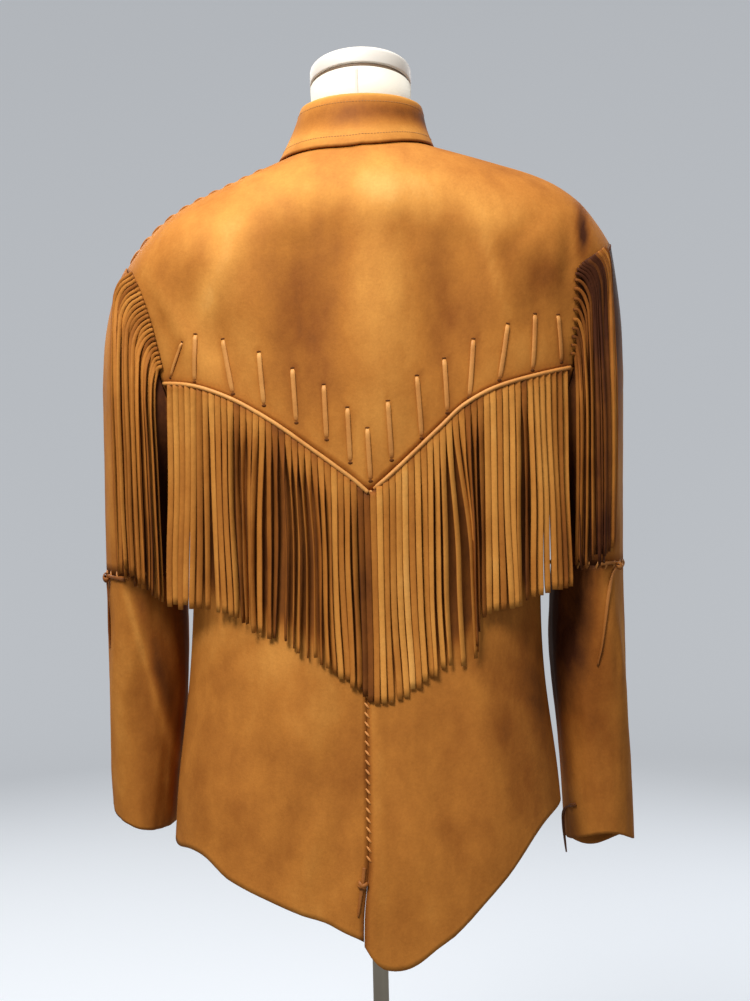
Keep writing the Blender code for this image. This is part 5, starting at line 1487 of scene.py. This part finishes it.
def buildWelt(side, word):
    middles = []
    for k in range(welt["parts"] + 1):
        x = side * (welt["start"] + (yokeFringe["half"] + 0.002 - welt["start"]) * k / welt["parts"])
        middles.append(seat(x, yokeLine(x), welt["lie"] + welt["radius"] * 0.86)[0])
    loops = []
    for k, middle in enumerate(middles):
        along = runAt(middles, k)
        out = bodyNormal(middle.x, middle.z, True)
        up = along.cross(out).normalized()
        out = up.cross(along).normalized()
        loop = []
        for spot in range(welt["sides"]):
            turn = math.tau * spot / welt["sides"]
            # A shallow groove runs where the rolled thong closes on itself
            groove = 1 - 0.16 * math.exp(-(((turn - 4.0 + math.pi) % math.tau - math.pi) / 0.35) ** 2)
            swell = 1 + 0.05 * noise.noise(Vector((middle.x * 120, turn, 1.0)))
            spoke = math.cos(turn) * out + math.sin(turn) * up
            loop.append(middle + welt["radius"] * groove * swell * spoke)
        loops.append(loop)

    def toneOf(point):
        # The cord is lighter than the hide, and painted shade darkens it towards the right
        return 0.22 - 0.14 * ease(0.0, 0.18, point.x)

    return finishTube("welt" + word, loops, laceSkin, ["welt_" + word.lower()], toneOf)


welts = [buildWelt(side, word) for side, word in sides]

# Lace stitches above the yoke's edge


def buildLace(name, stitch, wide, node):
    loops = []
    for k in range(laceCut["parts"] + 1):
        t = k / laceCut["parts"]
        x = stitch.topX + (stitch.footX - stitch.topX) * t
        z = stitch.topZ + (stitch.footZ - stitch.topZ) * t
        sink = math.sin(math.pi * min(max(t, 0.0), 1.0)) ** 0.35
        point, out = seat(x, z, -0.0010 + 0.0014 * sink)
        run = Vector((stitch.footX - stitch.topX, 0, stitch.footZ - stitch.topZ)).normalized()
        side = run.cross(out).normalized()
        knob = math.exp(-(((t - 0.09) / 0.07) ** 2))
        size = (0.62 + 0.38 * min(sink * 1.15, 1.0)) * (1 + 0.10 * knob)
        swell = 1 + 0.06 * noise.noise(Vector((x * 90, z * 90, 7.0)))
        thick = laceCut["thick"] * (0.45 + 0.55 * sink + 0.45 * knob)
        loops.append(thongLoop(point, side, out, wide * size * swell, thick))

    def toneOf(point):
        low = (stitch.topZ - point.z) / (stitch.topZ - stitch.footZ)
        # A painted highlight on the top knob, and painted shade where the lace sinks into its lower hole
        tone = 0.26 * math.exp(-(((low - 0.06) / 0.10) ** 2)) - 0.40 * ease(0.90, 1.0, low)
        # Lighter than the hide, and painted shade darkens it towards the right
        return tone + 0.12 - 0.12 * ease(0.0, 0.18, point.x)

    return finishTube(name, loops, laceSkin, [node], toneOf)


def buildHoles():
    # The punched slits that the lace comes out of, as dark discs of painted shade
    mesh = bmesh.new()
    for stitch in stitches + (sideLace,):
        run = Vector((stitch.footX - stitch.topX, 0, stitch.footZ - stitch.topZ)).normalized()
        wide = laceCut["wide"] if stitch is not sideLace else laceCut["sideWide"]
        for x, z, away in ((stitch.topX, stitch.topZ, -1), (stitch.footX, stitch.footZ, 1)):
            middle = Vector((x, 0, z)) + run * (away * 0.0006)
            point, out = seat(middle.x, middle.z, 0.00012)
            size = 0.55 if away < 0 else 1.0
            side = run.cross(out).normalized()
            along = out.cross(side).normalized()
            low, high = [], []
            for k in range(laceCut["holeSides"]):
                turn = math.tau * k / laceCut["holeSides"]
                rim = point + side * (math.cos(turn) * wide * 0.50)
                rim += along * (math.sin(turn) * laceCut["hole"] * size)
                high.append(rim)
                low.append(rim - out * 0.0008)
            addTube(mesh, [low, high])
    return finishSolid("laceHoles", mesh, holeShade, [])


laces = [
    buildLace(f"lace{k:02d}", stitch, laceCut["wide"], f"lace_{k:02d}")
    for k, stitch in enumerate(stitches, 1)
]
laces.append(buildLace("laceSide", sideLace, laceCut["sideWide"], "lace_side"))
laceHoles = buildHoles()
print("lacing made")

# Whip stitches: left shoulder seam, centre back, elbow seams

shoulderWhip = {
    "pitch": 0.0165, "from": 0.105, "to": 0.236,
    -1: {"wide": 0.0036, "thick": 0.0024, "shift": -0.0180, "reach": 1.35},
    1: {"wide": 0.0022, "thick": 0.0012, "shift": 0.0040, "reach": 1.0},
}
backWhip = {
    "pitch": 0.0088, "top": 0.900, "wide": 0.0020, "thick": 0.0011,
    "path": (
        (-0.0026, 0.0, -0.0007), (-0.0010, -0.0016, 0.0002),
        (0.0008, -0.0038, 0.0002), (0.0020, -0.0058, -0.0007),
    ),
}
elbowWhip = {
    "count": 25, "wide": 0.0021, "thick": 0.0011,
    "path": ((5.945, 0.0, -0.0006), (5.985, 0.020, 0.0003), (6.022, 0.045, 0.0003), (6.060, 0.065, -0.0006)),
}


def addWhip(mesh, points, outs, wide, thick):
    # A short thong over a seam, its ends sunk into the hide
    path = smoothPath(points, 8)
    loops = []
    for k, point in enumerate(path):
        t = k / (len(path) - 1)
        at = min(int(t * (len(outs) - 1)), len(outs) - 2)
        out = outs[at].lerp(outs[at + 1], t * (len(outs) - 1) - at).normalized()
        side = runAt(path, k).cross(out).normalized()
        size = 0.55 + 0.45 * math.sin(math.pi * t)
        loops.append(thongLoop(point, side, out, wide * size, thick * size))
    addTube(mesh, loops)


def buildShoulderWhips():
    mesh = bmesh.new()
    for side in (-1, 1):
        cut = shoulderWhip[side]
        x = shoulderWhip["from"]
        while x < shoulderWhip["to"]:
            z = ridgeZ(side * x)
            points, outs = [], []
            # On the left the stitches ride over towards the back, and on the right they lie on the front
            for part in (-0.0060, -0.0030, 0.0, 0.0030, 0.0060):
                y = part * cut["reach"]
                deep = y + cut["shift"] + neckline["seamY"]
                spotX = side * (x + y * 0.85)
                height = surfaceZ(spotX, deep)
                sunk = 0.0002 if abs(part) < 0.005 else -0.0009
                back = deep < neckline["seamY"]
                points.append(bodyPoint(spotX, height, back, leather["thick"] + sunk))
                outs.append(bodyNormal(spotX, height, back))
            addWhip(mesh, points, outs, cut["wide"], cut["thick"])
            slope = abs(ridgeZ(side * (x + 0.004)) - z) / 0.004
            x += shoulderWhip["pitch"] / math.hypot(1, slope)
    return finishSolid("shoulderWhips", mesh, laceSkin, [])


def buildBackWhips():
    mesh = bmesh.new()
    z = backWhip["top"]
    while z > leather["ventTop"] + 0.004:
        lean = read(bodyRings, z, "lean")
        points = [seat(lean + across, z + down, sunk)[0] for across, down, sunk in backWhip["path"]]
        addWhip(mesh, points, [Vector((0, -1, 0))] * len(points), backWhip["wide"], backWhip["thick"])
        z -= backWhip["pitch"]
    return finishSolid("backWhips", mesh, laceSkin, [])


def buildElbowWhips():
    mesh = bmesh.new()
    for side in (-1, 1):
        for k in range(elbowWhip["count"]):
            turn = math.tau * (k + 0.3) / elbowWhip["count"]
            points, outs = [], []
            for step, shift, sunk in elbowWhip["path"]:
                point = sleevePoint(side, step, turn + shift)
                out = (point - sleeveMiddle(point)).normalized()
                out = Vector((out.x * 1.6, out.y, 0)).normalized()
                points.append(point + out * sunk)
                outs.append(out)
            addWhip(mesh, points, outs, elbowWhip["wide"], elbowWhip["thick"])
    return finishSolid("elbowWhips", mesh, laceSkin, [])


shoulderWhips = buildShoulderWhips()
backWhips = buildBackWhips()
elbowWhips = buildElbowWhips()
print("whip stitches made")

# Laces at the elbows, at the right cuff and at the vent, all knotted except the one at the cuff

ties = {
    "tieElbowLeft": {
        "node": "tie_elbow_left", "knot": 3, "tone": -0.55,
        "path": (
            (-0.2420, 1.0080), (-0.2500, 1.0095), (-0.2570, 1.0105), (-0.2630, 1.0100),
            (-0.2635, 0.9950), (-0.2640, 0.9750), (-0.2645, 0.9550), (-0.2650, 0.9370),
        ),
    },
    "tieElbowRight": {
        "node": "tie_elbow_right", "knot": 2, "tone": -0.30,
        "path": (
            (0.2250, 1.0130), (0.2340, 1.0140), (0.2430, 1.0120), (0.2370, 1.0030),
            (0.2330, 0.9850), (0.2305, 0.9600), (0.2270, 0.9300), (0.2235, 0.9110),
        ),
    },
    "tieCuffRight": {
        "node": "tie_cuff_right", "knot": None, "tone": -0.75,
        "path": (
            (0.2050, 0.7650), (0.2000, 0.7600), (0.1962, 0.7500),
            (0.1960, 0.7360), (0.1975, 0.7200), (0.1990, 0.7060),
        ),
    },
    "tieVent": {
        "node": "tie_vent", "knot": 1, "tone": -0.45,
        "path": ((-0.0130, 0.7400), (-0.0150, 0.7250), (-0.0175, 0.7100), (-0.0190, 0.6950)),
    },
}


tieCut = {"wide": 0.0034, "thick": 0.0015, "parts": 30, "knotWide": 0.0032, "knotThick": 0.0014}


def buildTie(name, tie):
    spots = smoothPath([Vector(spot) for spot in tie["path"]], tieCut["parts"])
    knotAt = (tie["knot"] or 0) / (len(tie["path"]) - 1)
    points, outs = [], []
    for spot in spots:
        y = seenY(spot.x, spot.y)
        if y is None or (points and y > points[-1].y + 0.02):
            points.append(Vector((spot.x, points[-1].y, spot.y)))
            outs.append(outs[-1])
            continue
        point, out = seat(spot.x, spot.y, 0.0009)
        points.append(point)
        outs.append(out)
    for _ in range(4):
        for k in range(1, len(points) - 1):
            level = (points[k - 1].y + points[k + 1].y) / 2
            points[k].y = min(points[k].y, level)
    mesh = bmesh.new()
    loops = []
    for k, (point, out) in enumerate(zip(points, outs)):
        t = k / (len(points) - 1)
        along = runAt(points, k)
        twist = 1.4 * ease(knotAt + 0.1, 1.0, t)
        flat = (out * math.cos(twist) + along.cross(out) * math.sin(twist)).normalized()
        side = along.cross(flat).normalized()
        wide = tieCut["wide"] * (1 - 0.75 * ease(0.84, 1.0, t))
        loops.append(thongLoop(point, side, flat, wide, tieCut["thick"]))
    addTube(mesh, loops)
    # The knot is two turns of the thong round itself
    tilts = () if tie["knot"] is None else (-0.55, 0.55)
    k = round(knotAt * (len(points) - 1))
    centre, out = points[k] + outs[k] * 0.0012, outs[k]
    along = runAt(points, k)
    across = along.cross(out).normalized()
    for tilt in tilts:
        axis = (along * math.cos(tilt) + across * math.sin(tilt)).normalized()
        swing = axis.cross(out).normalized()
        loops = []
        for j in range(17):
            turn = math.tau * j / 16
            spoke = swing * math.cos(turn) + out * math.sin(turn)
            spot = centre + swing * (0.0036 * math.cos(turn)) + out * (0.0019 * math.sin(turn) + 0.0004)
            spot += axis * 0.0012 * math.sin(turn / 2)
            loops.append(thongLoop(spot, axis, spoke, tieCut["knotWide"], tieCut["knotThick"]))
        addTube(mesh, loops)
    return finishSolid(name, mesh, laceSkin, [tie["node"]], lambda p: tie["tone"])


for name, tie in ties.items():
    buildTie(name, tie)
print("ties made")

# Buttons and the stitched front edge

buttonCut = {
    "heights": (1.330, 1.218, 1.104, 0.990, 0.876), "radius": 0.0100, "thick": 0.0032,
    "profile": (
        (0.0, 0.0), (0.80, 0.0), (0.96, 0.18), (1.0, 0.50), (0.97, 0.86), (0.88, 1.0), (0.76, 0.93),
        (0.66, 0.66), (0.50, 0.60), (0.0, 0.60),
    ),
}
edgeStitch = {
    "low": 0.724, "high": 1.372, "step": 0.006, "inset": 0.0045,
    "pitch": 0.0034, "share": 0.78, "radius": 0.00042,
}


def buildButton(k, height):
    x = read(bodyRings, height, "lean")
    out = bodyNormal(x, height, False)
    base = bodyPoint(x, height, False, leather["thick"] + frontCut["lift"] + leather["lieOn"] + 0.0002)
    radius, thick = buttonCut["radius"], buttonCut["thick"]
    mesh = spinProfile([(across * radius, up * thick) for across, up in buttonCut["profile"]], 40)
    for spot in range(4):
        turn = math.tau * (spot + 0.5) / 4
        centre = Vector((math.cos(turn), math.sin(turn), 0)) * radius * 0.22
        loops = []
        for up in (0.54, 0.66):
            loops.append([
                centre + Vector((math.cos(a) * 0.0009, math.sin(a) * 0.0009, thick * up))
                for a in (math.tau * j / 8 for j in range(8))
            ])
        addTube(mesh, loops)
    turn = out.to_track_quat("Z", "Y").to_matrix().to_4x4()
    turn.translation = base
    bmesh.ops.transform(mesh, matrix=turn, verts=mesh.verts)
    return finishSolid(f"button{k + 1}", mesh, horn, [f"button_{k + 1}"])


buttons = [buildButton(k, height) for k, height in enumerate(buttonCut["heights"])]


def buildEdgeStitches():
    mesh = bmesh.new()
    points, outs = [], []
    z = edgeStitch["low"]
    while z < edgeStitch["high"]:
        x = read(bodyRings, z, "lean") + frontCut["overlap"] - edgeStitch["inset"]
        point, out = seat(x, z, 0.0, True)
        points.append(point)
        outs.append(out)
        z += edgeStitch["step"]
    addStitchRow(mesh, points, outs, edgeStitch["pitch"], edgeStitch["share"], edgeStitch["radius"])
    return finishSolid("edgeStitches", mesh, threadTan, [])


edgeStitches = buildEdgeStitches()
print("front made")

# Dress form, neck and stand

NeckRow = namedtuple("NeckRow", "part radius")
formNeck = {
    "rings": (NeckRow(0.0, 0.0495), NeckRow(0.3, 0.0500), NeckRow(0.65, 0.0508), NeckRow(1.0, 0.0520)),
    "long": 0.0790, "tilt": math.tan(math.radians(9)), "foot": Vector((0, 0.002, 1.4269)),
    "ringThick": 0.0035, "ringRadius": 0.0502, "capThick": 0.0180, "capRadius": 0.0522, "capRound": 0.0050,
    "capFoot": ((0.0, 0.0015), (0.0006, 0.0004), (0.0015, 0.0)),
    "sides": 96, "gap": 0.0004,
}
neckLean = math.atan(formNeck["tilt"])
neckAxis = Vector((0, math.sin(neckLean), math.cos(neckLean)))
neckBack = Vector((0, -math.cos(neckLean), math.sin(neckLean)))


def neckLoop(along, radius, level=False):
    foot = formNeck["foot"]
    loop = []
    for k in range(formNeck["sides"]):
        turn = math.tau * k / formNeck["sides"]
        spoke = math.cos(turn) * Vector((1, 0, 0)) - math.sin(turn) * neckBack
        point = foot + neckAxis * along + radius * spoke
        if level:
            point -= neckAxis * ((point.z - foot.z - along) / neckAxis.z)
        loop.append(point)
    return loop


def buildNeck():
    top = formNeck["long"]
    loops = [neckLoop(top * part, radius, part == 0) for part, radius in formNeck["rings"]]
    finishTube("formNeck", loops, canvas, ["form_neck"])
    # The cover's seam down the back of the neck, a raised fell
    loops = []
    for k in range(13):
        along = top * (0.40 + 0.59 * k / 12)
        out = read(formNeck["rings"], along / top, "radius") - 0.0003
        middle = formNeck["foot"] + neckAxis * along + neckBack * out + Vector((-0.004, 0, 0))
        loops.append(thongLoop(middle, Vector((1, 0, 0)), neckBack, 0.0030, 0.0007))
    finishTube("neckSeam", loops, canvas, [])
    low = top + formNeck["gap"]
    loops = [neckLoop(low + rise, formNeck["ringRadius"]) for rise in (0.0, formNeck["ringThick"])]
    finishTube("neckRing", loops, ringBrown, ["neck_ring"])
    low += formNeck["ringThick"] + formNeck["gap"]
    radius, bend = formNeck["capRadius"], formNeck["capRound"]
    loops = [neckLoop(low + rise, radius - inset) for rise, inset in formNeck["capFoot"]]
    for k in range(11):
        turn = math.pi / 2 * k / 10
        high = low + formNeck["capThick"] - bend * (1 - math.sin(turn))
        loops.append(neckLoop(high, radius - bend * (1 - math.cos(turn))))
    finishTube("neckCap", loops, capWhite, ["neck_cap"])


buildNeck()

stand = {"baseRadius": 0.160, "baseThick": 0.010, "edge": 0.003, "bossRadius": 0.022, "bossHeight": 0.030}


def roundedCorner(radius, high, edge, steps):
    turns = [math.pi / 2 * k / steps for k in range(steps + 1)]
    return [(radius - edge * (1 - math.cos(turn)), high - edge * (1 - math.sin(turn))) for turn in turns]


def buildStand():
    radius, thick, edge = stand["baseRadius"], stand["baseThick"], stand["edge"]
    boss, foot = stand["bossRadius"], thick + stand["bossHeight"]
    profile = [(0.0, 0.0), (radius, 0.0)] + roundedCorner(radius, thick, edge, 6) + [(boss, thick + edge)]
    profile += roundedCorner(boss - edge, foot, edge, 5) + [(0.0, foot)]
    mesh = spinProfile(profile, 128)
    piece = finishSolid("standBase", mesh, satinSteel, ["stand_base", "stand_boss"])
    piece.data.set_sharp_from_angle(angle=math.radians(50))


buildStand()
for node, look in (("form_body", canvas), ("stand_pole", satinSteel), ("stand_flange", satinSteel)):
    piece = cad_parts[node]
    piece.data.materials.clear()
    piece.data.materials.append(look)
print("form and stand made")

# Camera at the photograph's place, with its small roll

camera = {"distance": 1.33, "height": 1.0805, "lens": 46.75, "roll": math.radians(1.3), "shift": 0.005}
lensData = bpy.data.cameras.new("camera")
lensData.lens = camera["lens"]
lensData.sensor_width = 36.0
lensData.shift_x = camera["shift"]
lensData.clip_start = 0.02
cameraObject = newObject("camera", lensData)
cameraObject.location = (0.0, -camera["distance"], camera["height"])
cameraObject.rotation_mode = "XYZ"
cameraObject.rotation_euler = (math.pi / 2, camera["roll"], 0.0)
bpy.context.scene.camera = cameraObject

# Light and stage

lamps = {
    "key": {"place": (-0.9, -1.9, 3.2), "size": 1.0, "power": 100.0, "colour": (1.0, 0.97, 0.93)},
    "fill": {"place": (1.9, -2.2, 1.5), "size": 1.8, "power": 7.0, "colour": (0.93, 0.96, 1.0)},
    "top": {"place": (-0.2, -0.2, 3.1), "size": 1.4, "power": 28.0, "colour": (1.0, 0.99, 0.97)},
    "frontLeft": {"place": (-1.8, 2.4, 2.3), "size": 1.6, "power": 30.0, "colour": (1.0, 0.98, 0.95)},
    "frontRight": {"place": (1.9, 2.3, 2.0), "size": 1.6, "power": 24.0, "colour": (0.95, 0.97, 1.0)},
}
for name, lamp in lamps.items():
    light = bpy.data.lights.new(name, "AREA")
    light.size = lamp["size"]
    light.energy = lamp["power"]
    light.color = lamp["colour"]
    lampObject = newObject(name, light)
    lampObject.location = lamp["place"]
    aim = Vector((0, 0, 1.05)) - Vector(lamp["place"])
    lampObject.rotation_mode = "QUATERNION"
    lampObject.rotation_quaternion = aim.to_track_quat("-Z", "Y")

world = bpy.data.worlds.new("studio")
bpy.context.scene.world = world
world.use_nodes = True
backdrop = world.node_tree.nodes["Background"]
backdrop.inputs["Color"].default_value = (0.93, 0.92, 0.90, 1.0)
backdrop.inputs["Strength"].default_value = 0.26
bpy.context.scene.view_settings.view_transform = "Standard"

stage = {
    "floor": 4.2, "bend": 1.6, "wall": 6.5, "dip": -0.0003,
    "colour": (0.62, 0.655, 0.70, 1.0), "glow": (0.60, 0.635, 0.69, 1.0), "glowStrength": 0.38,
}


def buildStage():
    # A floor that bends up into a wall all round
    floor, bend, dip = stage["floor"], stage["bend"], stage["dip"]
    profile = [(0.0, dip), (floor, dip)]
    for k in range(1, 17):
        turn = math.pi / 2 * k / 16
        profile.append((floor + bend * math.sin(turn), dip + bend * (1 - math.cos(turn))))
    mesh = spinProfile(profile + [(floor + bend, stage["wall"])], 96)
    bmesh.ops.recalc_face_normals(mesh, faces=mesh.faces)
    data = bpy.data.meshes.new("stage")
    mesh.to_mesh(data)
    mesh.free()
    data.shade_smooth()
    made, _, shader = newMaterial("stage")
    shader.inputs["Base Color"].default_value = stage["colour"]
    shader.inputs["Roughness"].default_value = 0.95
    shader.inputs["Emission Color"].default_value = stage["glow"]
    shader.inputs["Emission Strength"].default_value = stage["glowStrength"]
    data.materials.append(made)
    piece = newObject("stage", data)
    piece.visible_shadow = False
    piece.visible_diffuse = False
    piece.visible_glossy = False


buildStage()
print("stage made")
